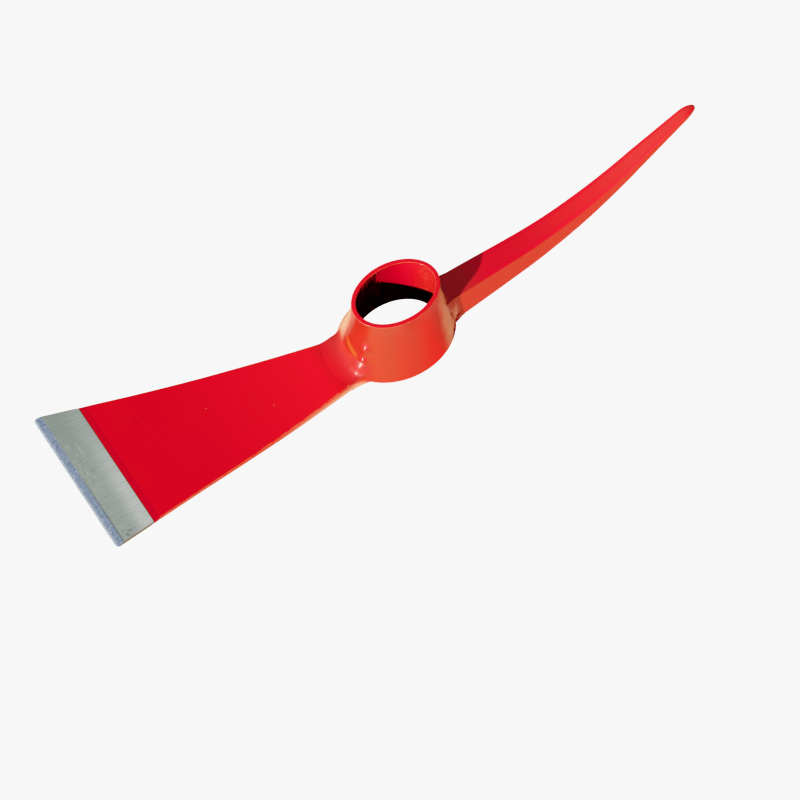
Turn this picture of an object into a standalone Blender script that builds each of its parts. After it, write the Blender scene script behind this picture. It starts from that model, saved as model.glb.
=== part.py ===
"""A mattock head: a tapered oval eye, a broad adze blade with a ground steel bit, and a curved pick.

The eye stands on its large end, on the ground plane, with its axis along Z. The blade runs along -X and the
pick along +X. Both arms curve up, towards the small end of the eye, which is the side that the handle leaves.
Arms are described by the distance from the eye's axis, so one set of functions serves both sides.
"""

import math
from dataclasses import dataclass
from typing import Callable

import bmesh
import bpy
from mathutils import Vector

# Eye: an oval socket with a tapered bore, a thick wall at its base and a thin collar at its top.
EYE_HEIGHT = 0.054
BORE_BASE_LENGTH = 0.060
BORE_BASE_WIDTH = 0.044
BORE_COLLAR_LENGTH = 0.054
BORE_COLLAR_WIDTH = 0.0374
BASE_WALL = 0.01145
COLLAR_WALL = 0.00265
EYE_FLARE = 1.6
EYE_EDGE_ROUND = 0.0006
EYE_SEGMENTS = 96
EYE_LEVELS = 7

# Adze blade: a flared plate that thins from its root and curves up to the cutting edge.
BLADE_REACH = 0.230
BLADE_ROOT_WIDTH = 0.032
BLADE_EDGE_WIDTH = 0.100
BLADE_ROOT_ANGLE = math.radians(7.7)
BLADE_EDGE_ANGLE = math.radians(17.4)
BLADE_CURVE_RUN = 0.115
BLADE_ROOT_THICKNESS = 0.0061
BLADE_THICKNESS = 0.0032
BLADE_THINNING_RUN = 0.110
BLADE_ROOT_SPREAD = 0.0026
BLADE_SPREAD_RUN = 0.125
BLADE_STATIONS = 24

# Cutting bit: the bare steel end of the blade, scarfed to it, with a bevel ground on its upper face.
BIT_LENGTH = 0.028
BEVEL_LENGTH = 0.0052
EDGE_THICKNESS = 0.0005
BIT_CORNER_ROUND = 0.0025
BIT_STATIONS = 8

# Pick: a bar of trapezoid section, straight at its root, then curved, then a straight drawn point.
PICK_REACH = 0.230
PICK_ROOT_DEPTH = 0.0218
PICK_ROOT_WIDTH = 0.0178
PICK_STRAIGHT_RUN = 0.0485
PICK_DRAFT_ANGLE = math.radians(10.75)
POINT_LENGTH = 0.045
POINT_ANGLE = math.radians(29.25)
POINT_START_DEPTH = 0.0068
POINT_START_WIDTH = 0.0102
POINT_END_DEPTH = 0.0052
POINT_END_WIDTH = 0.0046
NOSE_LENGTH = 0.011
NOSE_DROP = 0.0022
NOSE_TURN = math.radians(72)
NOSE_STEPS = 4
PICK_STATIONS = 26
POINT_STATIONS = 14

# Welds: a fillet over the top and sides of each root, and a groove weld flush with the eye's base below it.
BLADE_WELD_TOP_LEG = 0.014
BLADE_WELD_WALL_LEG = 0.009
BLADE_WELD_SIDE_LEG = 0.008
BLADE_WELD_SIDE_RISE = 0.004
PICK_WELD_TOP_LEG = 0.004
PICK_WELD_WALL_LEG = 0.004
PICK_WELD_SIDE_LEG = 0.008
PICK_WELD_SIDE_RISE = 0.006
WELD_TOE = 0.0007
GROOVE_RUN = 0.0045
GROOVE_HEIGHT = 0.0028
WELD_CURVE_STEPS = 7
ROOT_SEARCH_STEPS = 6
WELD_SIDE_STEPS = 4
WELD_CORNER_STEPS = 6
WELD_TOP_STEPS = 6
GROOVE_STEPS = 14

# Fits and edges.
JOINT_GAP = 0.0003
GROUND_GAP = 0.0003
ARM_EDGE_ROUND = 0.0007
EDGE_SEGMENTS = 2
EDGE_ANGLE = math.radians(40)
CUTTER_OVERSHOOT = 0.006
CUTTER_LEVELS = 12

# Places worked out from those sizes, as distances from the eye's axis.
ARM_ROOT = BORE_BASE_LENGTH / 2 + BASE_WALL
BIT_START = BLADE_REACH - BIT_LENGTH
BEVEL_START = BLADE_REACH - BEVEL_LENGTH
PICK_CURVE_START = ARM_ROOT + PICK_STRAIGHT_RUN
POINT_START = PICK_REACH - POINT_LENGTH

RED = (0.62, 0.012, 0.020, 1.0)
STEEL = (0.42, 0.45, 0.44, 1.0)


@dataclass(frozen=True)
class Section:
    """A four-cornered section of an arm: half-widths and heights of its top and bottom."""

    top_half: float
    bottom_half: float
    top: float
    bottom: float

    def side(self, share: float, sign: float) -> Vector:
        """The point on one side, from the bottom (0) to the top (1), as a vector of Y and Z."""
        half = self.bottom_half + (self.top_half - self.bottom_half) * share
        return Vector((sign * half, self.bottom + (self.top - self.bottom) * share))

    def side_normal(self, sign: float) -> Vector:
        """The outward direction of one side, as a vector of Y and Z."""
        return Vector((sign * (self.top - self.bottom), self.bottom_half - self.top_half)).normalized()


@dataclass(frozen=True)
class Arm:
    """An arm of the head: which way it runs along X, and its section at a distance from the eye's axis."""

    direction: float
    section: Callable[[float], Section]


def blend(start: float, end: float, share: float) -> float:
    """A value part of the way from start to end."""
    return start + (end - start) * share


def outer_half_axes(z: float) -> tuple[float, float]:
    """Half the length and half the width of the eye's outside at a height. It flares out towards its base."""
    flare = min(max(1 - z / EYE_HEIGHT, 0.0), 1.0) ** EYE_FLARE
    return (
        blend(BORE_COLLAR_LENGTH / 2 + COLLAR_WALL, BORE_BASE_LENGTH / 2 + BASE_WALL, flare),
        blend(BORE_COLLAR_WIDTH / 2 + COLLAR_WALL, BORE_BASE_WIDTH / 2 + BASE_WALL, flare),
    )


def bore_half_axes(z: float) -> tuple[float, float]:
    """Half the length and half the width of the eye's bore at a height."""
    share = z / EYE_HEIGHT
    return (
        blend(BORE_BASE_LENGTH, BORE_COLLAR_LENGTH, share) / 2,
        blend(BORE_BASE_WIDTH, BORE_COLLAR_WIDTH, share) / 2,
    )


def wall_distance(y: float, z: float) -> float:
    """Distance along X from the eye's axis to its outside, at a Y and a height."""
    length, width = outer_half_axes(z)
    return length * math.sqrt(max(1 - (y / width) ** 2, 0.0))


def groove_half_axes(z: float, back: float) -> tuple[float, float]:
    """Half the length and width of the groove's slanted face at a height, moved back towards the eye."""
    top_length, top_width = outer_half_axes(GROOVE_HEIGHT)
    base_length, base_width = outer_half_axes(0.0)
    share = z / GROOVE_HEIGHT
    return (
        blend(base_length + GROOVE_RUN, top_length + JOINT_GAP, share) - back,
        blend(base_width + GROOVE_RUN, top_width + JOINT_GAP, share) - back,
    )


def blade_section(distance: float) -> Section:
    """Section of the blade at a distance from the eye's axis."""
    run = max(distance - ARM_ROOT, 0.0)
    half = blend(BLADE_ROOT_WIDTH, BLADE_EDGE_WIDTH, run / (BLADE_REACH - ARM_ROOT)) / 2
    curved = min(run, BLADE_CURVE_RUN)
    root_slope = math.tan(BLADE_ROOT_ANGLE)
    edge_slope = math.tan(BLADE_EDGE_ANGLE)
    bend = (edge_slope - root_slope) / (2 * BLADE_CURVE_RUN)
    rise = root_slope * curved + bend * curved ** 2 + edge_slope * (run - curved)
    top = GROUND_GAP + BLADE_ROOT_THICKNESS + rise
    thinned = max(1 - run / BLADE_THINNING_RUN, 0.0) ** 2
    thickness = blend(BLADE_THICKNESS, BLADE_ROOT_THICKNESS, thinned)
    spread = BLADE_ROOT_SPREAD * max(1 - run / BLADE_SPREAD_RUN, 0.0)
    return Section(half, half + spread, top, top - thickness)


def pick_section(distance: float) -> Section:
    """Section of the pick at a distance from the eye's axis."""
    curve_run = POINT_START - PICK_CURVE_START
    curved = min(max(distance - PICK_CURVE_START, 0.0), curve_run)
    drawn = max(distance - POINT_START, 0.0)
    rise = math.tan(POINT_ANGLE) * (curved ** 2 / (2 * curve_run) + drawn)
    top = GROUND_GAP + PICK_ROOT_DEPTH + rise
    tine_share = min(max(distance - ARM_ROOT, 0.0) / (POINT_START - ARM_ROOT), 1.0)
    point_share = drawn / (PICK_REACH - POINT_START)
    depth = blend(PICK_ROOT_DEPTH, POINT_START_DEPTH, tine_share)
    depth = blend(depth, POINT_END_DEPTH, point_share)
    half = blend(PICK_ROOT_WIDTH, POINT_START_WIDTH, tine_share) / 2
    half = blend(half, POINT_END_WIDTH / 2, point_share)
    return Section(half, half + math.tan(PICK_DRAFT_ANGLE) * depth, top, top - depth)


BLADE = Arm(-1.0, blade_section)
PICK = Arm(1.0, pick_section)


def clear_scene() -> None:
    """Remove every object that the scene starts with."""
    for item in list(bpy.data.objects):
        bpy.data.objects.remove(item, do_unlink=True)


def new_collection(name: str) -> bpy.types.Collection:
    """A collection linked to the scene."""
    made = bpy.data.collections.new(name)
    bpy.context.scene.collection.children.link(made)
    return made


def new_material(name: str, colour: tuple, roughness: float, metallic: float) -> bpy.types.Material:
    """A plain Principled material."""
    made = bpy.data.materials.new(name)
    made.use_nodes = True
    shader = made.node_tree.nodes["Principled BSDF"]
    shader.inputs["Base Color"].default_value = colour
    shader.inputs["Roughness"].default_value = roughness
    shader.inputs["Metallic"].default_value = metallic
    made.diffuse_color = colour
    return made


def loft(name: str, rings: list, closed: bool, home: bpy.types.Collection) -> bpy.types.Object:
    """A solid skinned over rings of points, capped at both ends or, if closed, joined end to end."""
    mesh = bpy.data.meshes.new(name)
    work = bmesh.new()
    rows = [[work.verts.new(point) for point in ring] for ring in rings]
    count = len(rows[0])
    pairs = list(zip(rows, rows[1:]))
    if closed:
        pairs.append((rows[-1], rows[0]))
    for first, second in pairs:
        for i in range(count):
            j = (i + 1) % count
            work.faces.new((first[i], first[j], second[j], second[i]))
    if not closed:
        work.faces.new(rows[0])
        work.faces.new(rows[-1])
    bmesh.ops.recalc_face_normals(work, faces=work.faces)
    work.to_mesh(mesh)
    work.free()
    made = bpy.data.objects.new(name, mesh)
    home.objects.link(made)
    return made


def round_edges(item: bpy.types.Object, width: float) -> None:
    """Round the sharp edges of a piece with a Bevel modifier."""
    bevel = item.modifiers.new("edges", "BEVEL")
    bevel.width = width
    bevel.segments = EDGE_SEGMENTS
    bevel.limit_method = "ANGLE"
    bevel.angle_limit = EDGE_ANGLE


def cut(item: bpy.types.Object, cutter: bpy.types.Object) -> None:
    """Cut a piece with a Boolean modifier."""
    step = item.modifiers.new("cut", "BOOLEAN")
    step.operation = "DIFFERENCE"
    step.solver = "EXACT"
    step.object = cutter


def ring_of(length: float, width: float, z: float, segments: int) -> list:
    """Points around an oval at a height."""
    turns = [2 * math.pi * i / segments for i in range(segments)]
    return [Vector((length * math.cos(t), width * math.sin(t), z)) for t in turns]


def build_eye(home: bpy.types.Collection) -> bpy.types.Object:
    """The tapered oval socket: its wall section, up the outside and down the bore, swept around its axis."""
    loops = []
    for i in range(EYE_LEVELS + 1):
        z = EYE_HEIGHT * i / EYE_LEVELS
        loops.append(ring_of(*outer_half_axes(z), z, EYE_SEGMENTS))
    for z in (EYE_HEIGHT, 0.0):
        loops.append(ring_of(*bore_half_axes(z), z, EYE_SEGMENTS))
    rings = [list(section) for section in zip(*loops)]
    eye = loft("eye_socket", rings, True, home)
    round_edges(eye, EYE_EDGE_ROUND)
    return eye


def build_root_cutter(home: bpy.types.Collection) -> bpy.types.Object:
    """The eye's outside grown by the joint gap, with a flared skirt that leaves the weld groove below."""
    rings = [ring_of(*groove_half_axes(-CUTTER_OVERSHOOT, 0.0), -CUTTER_OVERSHOOT, EYE_SEGMENTS)]
    heights = [blend(GROOVE_HEIGHT, EYE_HEIGHT, i / CUTTER_LEVELS) for i in range(CUTTER_LEVELS + 1)]
    for z in heights + [EYE_HEIGHT + CUTTER_OVERSHOOT]:
        length, width = outer_half_axes(z)
        rings.append(ring_of(length + JOINT_GAP, width + JOINT_GAP, z, EYE_SEGMENTS))
    cutter = loft("eye_clearance", rings, False, home)
    cutter.hide_render = True
    cutter.display_type = "WIRE"
    return cutter


def section_ring(arm: Arm, top_distance: float, bottom_distance: float) -> list:
    """Four corners of an arm. Its bottom corners may sit nearer to the eye or further than its top ones."""
    upper = arm.section(top_distance)
    lower = arm.section(bottom_distance)
    top_x = arm.direction * top_distance
    bottom_x = arm.direction * bottom_distance
    return [
        Vector((top_x, upper.top_half, upper.top)),
        Vector((top_x, -upper.top_half, upper.top)),
        Vector((bottom_x, -lower.bottom_half, lower.bottom)),
        Vector((bottom_x, lower.bottom_half, lower.bottom)),
    ]


def scarf_depth(arm: Arm, distance: float) -> float:
    """Depth of an arm at a distance, which is also the run of a scarf at 45 degrees."""
    section = arm.section(distance)
    return section.top - section.bottom


def build_blade(home: bpy.types.Collection, cutter: bpy.types.Object) -> bpy.types.Object:
    """The painted plate, from the eye's wall to the scarf."""
    inside = bore_half_axes(0.0)[0]
    lap = scarf_depth(BLADE, BIT_START)
    rings = [section_ring(BLADE, inside, inside)]
    for i in range(BLADE_STATIONS + 1):
        share = i / BLADE_STATIONS
        top_distance = blend(ARM_ROOT, BIT_START, share)
        bottom_distance = blend(ARM_ROOT, BIT_START - lap, share)
        rings.append(section_ring(BLADE, top_distance, bottom_distance))
    blade = loft("adze_blade", rings, False, home)
    round_edges(blade, ARM_EDGE_ROUND)
    cut(blade, cutter)
    return blade


def build_bit(home: bpy.types.Collection) -> bpy.types.Object:
    """The bare steel end of the blade, with the bevel on its upper face."""
    lap = scarf_depth(BLADE, BIT_START)
    gap = JOINT_GAP * math.sqrt(2)
    rings = []
    for i in range(BIT_STATIONS + 1):
        share = i / BIT_STATIONS
        rings.append(
            section_ring(
                BLADE,
                blend(BIT_START + gap, BEVEL_START, share),
                blend(BIT_START - lap + gap, BEVEL_START, share),
            )
        )
    back = BLADE_REACH - BIT_CORNER_ROUND
    for distance, inset in ((back, 0.0), (BLADE_REACH, BIT_CORNER_ROUND)):
        share = (distance - BEVEL_START) / BEVEL_LENGTH
        low = BLADE.section(distance)
        start = BLADE.section(BEVEL_START)
        thickness = blend(start.top - start.bottom, EDGE_THICKNESS, share)
        half = low.top_half - inset
        x = BLADE.direction * distance
        rings.append(
            [
                Vector((x, half, low.bottom + thickness)),
                Vector((x, -half, low.bottom + thickness)),
                Vector((x, -half, low.bottom)),
                Vector((x, half, low.bottom)),
            ]
        )
    return loft("cutting_bit", rings, False, home)


def build_tine(home: bpy.types.Collection, cutter: bpy.types.Object) -> bpy.types.Object:
    """The painted bar of the pick, from the eye's wall to the scarf."""
    inside = bore_half_axes(0.0)[0]
    lap = scarf_depth(PICK, POINT_START)
    rings = [section_ring(PICK, inside, inside)]
    for i in range(PICK_STATIONS + 1):
        share = i / PICK_STATIONS
        top_distance = blend(ARM_ROOT, POINT_START - lap, share)
        bottom_distance = blend(ARM_ROOT, POINT_START, share)
        rings.append(section_ring(PICK, top_distance, bottom_distance))
    tine = loft("pick_tine", rings, False, home)
    round_edges(tine, ARM_EDGE_ROUND)
    cut(tine, cutter)
    return tine


def build_point(home: bpy.types.Collection) -> bpy.types.Object:
    """The drawn point of the pick, with a rounded nose."""
    lap = scarf_depth(PICK, POINT_START)
    gap = JOINT_GAP * math.sqrt(2)
    nose_start = PICK_REACH - NOSE_LENGTH
    rings = []
    for i in range(POINT_STATIONS + 1):
        share = i / POINT_STATIONS
        rings.append(
            section_ring(
                PICK,
                blend(POINT_START - lap + gap, nose_start, share),
                blend(POINT_START + gap, nose_start, share),
            )
        )
    for i in range(1, NOSE_STEPS + 1):
        turn = NOSE_TURN * i / NOSE_STEPS
        distance = nose_start + NOSE_LENGTH * math.sin(turn) / math.sin(NOSE_TURN)
        shrink = math.cos(turn)
        section = PICK.section(distance)
        middle = (section.top + section.bottom) / 2 - NOSE_DROP * math.sin(turn) ** 2
        half_depth = (section.top - section.bottom) / 2 * shrink
        rings.append(
            [
                Vector((distance, section.top_half * shrink, middle + half_depth)),
                Vector((distance, -section.top_half * shrink, middle + half_depth)),
                Vector((distance, -section.bottom_half * shrink, middle - half_depth)),
                Vector((distance, section.bottom_half * shrink, middle - half_depth)),
            ]
        )
    return loft("pick_point", rings, False, home)


@dataclass(frozen=True)
class WeldStation:
    """A place along a fillet: a point of the arm's outline, its normal, and how far the weld reaches."""

    point: Callable[[Section], Vector]
    normal: Callable[[Section], Vector]
    arm_leg: float
    wall_leg: Callable[[Section], Vector]


def mirrored(station: WeldStation) -> WeldStation:
    """The same station on the other side of the arm."""
    flip = Vector((-1.0, 1.0))
    return WeldStation(
        lambda s: station.point(s) * flip,
        lambda s: station.normal(s) * flip,
        station.arm_leg,
        lambda s: station.wall_leg(s) * flip,
    )


def weld_stations(top_leg: float, wall_leg: float, side_leg: float, side_rise: float) -> list:
    """Stations up one side of an arm's root, around the corner, over the top, and down the other side."""
    up = Vector((0.0, 1.0))
    stations = []
    for i in range(WELD_SIDE_STEPS):
        share = i / WELD_SIDE_STEPS
        stations.append(
            WeldStation(
                lambda s, share=share: s.side(share, -1.0),
                lambda s: s.side_normal(-1.0),
                side_leg,
                lambda s: s.side_normal(-1.0) * side_rise,
            )
        )
    for i in range(WELD_CORNER_STEPS):
        turn = math.pi / 2 * i / WELD_CORNER_STEPS
        across = math.cos(turn)
        along = math.sin(turn)
        stations.append(
            WeldStation(
                lambda s: s.side(1.0, -1.0),
                lambda s, a=across, b=along: (s.side_normal(-1.0) * a + up * b).normalized(),
                blend(side_leg, top_leg, along ** 2),
                lambda s, a=across, b=along: s.side_normal(-1.0) * (side_rise * a) + up * (wall_leg * b),
            )
        )
    for i in range(WELD_TOP_STEPS):
        share = i / WELD_TOP_STEPS - 1.0
        stations.append(
            WeldStation(
                lambda s, share=share: Vector((share * s.top_half, s.top)),
                lambda s: up,
                top_leg,
                lambda s: up * wall_leg,
            )
        )
    middle = WeldStation(lambda s: Vector((0.0, s.top)), lambda s: up, top_leg, lambda s: up * wall_leg)
    return stations + [middle] + [mirrored(station) for station in reversed(stations)]


def root_distance(arm: Arm, point: Callable[[Section], Vector]) -> float:
    """Distance from the eye's axis at which a line along an arm's surface meets the eye's outside."""
    distance = ARM_ROOT
    for _ in range(ROOT_SEARCH_STEPS):
        distance = wall_distance(*point(arm.section(distance)))
    return distance


def build_weld(name: str, arm: Arm, stations: list, home: bpy.types.Collection) -> bpy.types.Object:
    """A concave fillet that follows an arm's root, a joint gap clear of the arm and of the eye's wall."""
    rings = []
    for station in stations:
        root = root_distance(arm, station.point)

        def on_arm(distance: float, lift: float) -> Vector:
            section = arm.section(distance)
            spot = station.point(section) + station.normal(section) * lift
            return Vector((arm.direction * distance, spot.x, spot.y))

        def on_wall(rise: Vector, lift: float) -> Vector:
            spot = station.point(arm.section(root)) + rise
            return Vector((arm.direction * (wall_distance(*spot) + lift), spot.x, spot.y))

        normal = station.normal(arm.section(root))
        leg = station.wall_leg(arm.section(root))
        inner = on_wall(normal * JOINT_GAP, JOINT_GAP)
        toe_low = on_arm(root + station.arm_leg, JOINT_GAP)
        toe = on_arm(root + station.arm_leg, JOINT_GAP + WELD_TOE)
        throat = on_wall(normal * (JOINT_GAP + WELD_TOE), JOINT_GAP + WELD_TOE)
        head = on_wall(leg, JOINT_GAP + WELD_TOE)
        head_low = on_wall(leg, JOINT_GAP)
        face = []
        for i in range(WELD_CURVE_STEPS + 1):
            t = i / WELD_CURVE_STEPS
            face.append(toe * (1 - t) ** 2 + throat * 2 * t * (1 - t) + head * t ** 2)
        wall_middle = on_wall(leg / 2, JOINT_GAP)
        arm_middle = on_arm(root + station.arm_leg / 2, JOINT_GAP)
        rings.append([inner, arm_middle, toe_low] + face + [head_low, wall_middle])
    return loft(name, rings, False, home)


def build_groove_weld(name: str, arm: Arm, home: bpy.types.Collection) -> bpy.types.Object:
    """A three-cornered weld that fills the groove under an arm's root, flush with the eye's base."""
    half = arm.section(root_distance(arm, lambda s: s.side(0.0, 1.0))).bottom_half
    top = GROOVE_HEIGHT - 2 * JOINT_GAP
    slant = math.hypot(GROOVE_RUN, GROOVE_HEIGHT) / GROOVE_HEIGHT
    corners = []
    for z in (GROUND_GAP, top):
        length, width = outer_half_axes(z)
        corners.append((z, length + JOINT_GAP, width + JOINT_GAP))
    for z in (top, GROUND_GAP):
        corners.append((z, *groove_half_axes(z, JOINT_GAP * slant)))
    sweep = math.asin(half / corners[-1][2])
    rings = []
    for i in range(GROOVE_STEPS + 1):
        turn = blend(-sweep, sweep, i / GROOVE_STEPS)
        across = math.sin(turn)
        along = arm.direction * math.cos(turn)
        rings.append([Vector((length * along, width * across, z)) for z, length, width in corners])
    return loft(name, rings, False, home)


def main() -> None:
    """Build the head."""
    clear_scene()
    head = new_collection("mattock_head")
    cutters = new_collection("cutters")
    cutter = build_root_cutter(cutters)
    painted = [
        build_eye(head),
        build_blade(head, cutter),
        build_tine(head, cutter),
        build_point(head),
    ]
    blade_stations = weld_stations(
        BLADE_WELD_TOP_LEG,
        BLADE_WELD_WALL_LEG,
        BLADE_WELD_SIDE_LEG,
        BLADE_WELD_SIDE_RISE,
    )
    pick_stations = weld_stations(
        PICK_WELD_TOP_LEG,
        PICK_WELD_WALL_LEG,
        PICK_WELD_SIDE_LEG,
        PICK_WELD_SIDE_RISE,
    )
    painted.append(build_weld("blade_weld", BLADE, blade_stations, head))
    painted.append(build_weld("pick_weld", PICK, pick_stations, head))
    painted.append(build_groove_weld("blade_root_weld", BLADE, head))
    painted.append(build_groove_weld("pick_root_weld", PICK, head))
    for piece in painted:
        piece.data.materials.append(new_material("red_paint_" + piece.name, RED, 0.3, 0.0))
    bit = build_bit(head)
    bit.data.materials.append(new_material("ground_steel_" + bit.name, STEEL, 0.35, 1.0))


main()
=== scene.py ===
"""Looks of a pick mattock head: red enamel over welded steel, with a bare ground bit.

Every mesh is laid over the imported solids. Its sizes are measured on their faces, so each piece sits where its
solid sits. X runs along the head from the blade to the pick, Y across it, and Z up the eye, in metres.
"""

import logging
import math
from dataclasses import dataclass
from enum import Enum
from functools import cached_property
from typing import Callable, NamedTuple, Sequence

import bpy
import numpy as np
from mathutils import Matrix, Vector, noise
from mathutils.bvhtree import BVHTree

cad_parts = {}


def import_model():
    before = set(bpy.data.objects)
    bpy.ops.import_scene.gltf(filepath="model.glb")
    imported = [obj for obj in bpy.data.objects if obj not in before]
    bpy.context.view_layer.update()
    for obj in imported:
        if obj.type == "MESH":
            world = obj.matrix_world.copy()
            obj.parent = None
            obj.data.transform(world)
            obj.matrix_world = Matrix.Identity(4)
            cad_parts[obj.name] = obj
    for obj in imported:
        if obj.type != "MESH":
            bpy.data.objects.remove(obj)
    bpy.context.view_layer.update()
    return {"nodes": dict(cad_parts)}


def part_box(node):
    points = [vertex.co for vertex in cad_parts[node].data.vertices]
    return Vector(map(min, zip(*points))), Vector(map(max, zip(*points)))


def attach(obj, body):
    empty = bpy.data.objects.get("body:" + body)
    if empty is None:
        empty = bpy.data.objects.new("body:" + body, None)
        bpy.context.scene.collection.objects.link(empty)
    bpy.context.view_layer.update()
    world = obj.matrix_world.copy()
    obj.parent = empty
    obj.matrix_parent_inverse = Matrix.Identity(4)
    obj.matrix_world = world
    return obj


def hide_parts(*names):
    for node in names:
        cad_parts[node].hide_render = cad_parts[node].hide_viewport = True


LOG = logging.getLogger("mattock_head")
BODY = "root"
MILLIMETRE = 0.001
TINY = 1e-12
QUARTER = math.pi / 2
NOISE_MIDDLE = 0.5
HALFWAY = 0.5
MIX_SHARE, MIX_FIRST, MIX_SECOND, MIX_RESULT = 0, 6, 7, 2

# Probes: how far off they start, their spacing, the heights on a side where they meet it, how they are
# smoothed, how far past an arm's root they begin, and how many give the slopes at its root and its end.
PROBE_REACH = 1.0
PROBE_STEP = 1.5 * MILLIMETRE
PROBE_SHARES = (0.3, 0.7)
PROBE_KERNEL = (0.25, 0.5, 0.25)
ROOT_CLEAR = 5 * MILLIMETRE
ROOT_RUN, END_RUN = 4, 8

Colour = tuple[float, float, float]
Pair = tuple[float, float]
Ramp = tuple[float, ...]
Ring = tuple[np.ndarray, np.ndarray]
Spot = tuple[float, float, float, float]
Socket = bpy.types.NodeSocket
Material = bpy.types.Material
Solid = bpy.types.Object


class Side(Enum):
    """Which way an arm leaves the eye along X."""

    BLADE = -1.0
    PICK = 1.0


class Slot(Enum):
    """The record's material slots."""

    PAINT = "red_paint"
    STEEL = "ground_steel"


class Mark(Enum):
    """Values that a mesh carries on its points for the finishes to read."""

    EDGE = "edge"
    INSIDE = "inside"
    # Spray reach in the bore, laid along the key light: also the border of the rim's painted shadow.
    SPRAY = "spray"
    PIT = "pit"


def blend(start: float, end: float, share: float) -> float:
    """A value part of the way from start to end."""
    return start + (end - start) * share


def smooth(low: float, high: float, value: float) -> float:
    """A smooth step from 0 at low to 1 at high."""
    share = min(max((value - low) / (high - low), 0.0), 1.0)
    return share * share * (3 - 2 * share)


class Signal:
    """A number that changes over a surface: an output socket, with the operators that the finishes use."""

    def __init__(self, board: "Board", socket: Socket) -> None:
        """Hold the socket and the board that its node stands on."""
        self.board = board
        self.socket = socket

    def _math(self, operation: str, *values: "Signal | float") -> "Signal":
        """A Math node over some values.

        Args:
            operation: the Math node's operation.
            values: what goes into its sockets, in order.

        Returns:
            The node's result.
        """
        made = self.board.node("ShaderNodeMath", {"operation": operation}, dict(enumerate(values)))
        return Signal(self.board, made.outputs[0])

    def __add__(self, other: "Signal | float") -> "Signal":
        """This plus other."""
        return self._math("ADD", self, other)

    def __radd__(self, other: float) -> "Signal":
        """Other plus this."""
        return self._math("ADD", other, self)

    def __sub__(self, other: "Signal | float") -> "Signal":
        """This less other."""
        return self._math("SUBTRACT", self, other)

    def __rsub__(self, other: float) -> "Signal":
        """Other less this."""
        return self._math("SUBTRACT", other, self)

    def __mul__(self, other: "Signal | float") -> "Signal":
        """This times other."""
        return self._math("MULTIPLY", self, other)

    def __rmul__(self, other: float) -> "Signal":
        """Other times this."""
        return self._math("MULTIPLY", other, self)

    def __abs__(self) -> "Signal":
        """This without its sign."""
        return self._math("ABSOLUTE", self)

    def most(self, other: "Signal | float") -> "Signal":
        """The larger of this and other."""
        return self._math("MAXIMUM", self, other)

    def step(self, low: float, high: float, top: float = 1.0) -> "Signal":
        """A smooth step of this value. Low may be the larger one.

        Args:
            low: where the step is 0.
            high: where it reaches its top.
            top: its value there.

        Returns:
            The step.
        """
        made = self.board.node(
            "ShaderNodeMapRange",
            {"interpolation_type": "SMOOTHSTEP"},
            {"Value": self, "From Min": low, "From Max": high, "To Min": 0.0, "To Max": top},
        )
        return Signal(self.board, made.outputs[0])

    def band(self, rise: Ramp, fall: Ramp) -> "Signal":
        """A smooth step up, and another one down again."""
        return self.step(*rise) * self.step(*fall)

    def near(self, middle: float, *ramp: float) -> "Signal":
        """A smooth step of the distance from a middle."""
        return abs(self - middle).step(*ramp)

    def around(self, middle: float, change: float) -> "Signal":
        """A noise as a value that changes evenly around a middle."""
        return self * change + (middle - change * NOISE_MIDDLE)


class Axes(NamedTuple):
    """The coordinates of a vector."""

    x: Signal
    y: Signal
    z: Signal


class Grain(NamedTuple):
    """A noise pattern: its repeats in a metre, alike or by axis, and the number and strength of finer layers.

    Where it has a ramp, the noise is stepped between those values.
    """

    stretch: float | tuple[float, float, float]
    detail: float = 2.0
    roughness: float = 0.5
    ramp: Ramp | None = None


class Layer(NamedTuple):
    """A colour that is laid over another, and the values of a signal between which it comes in."""

    colour: Colour
    ramp: Ramp


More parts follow.
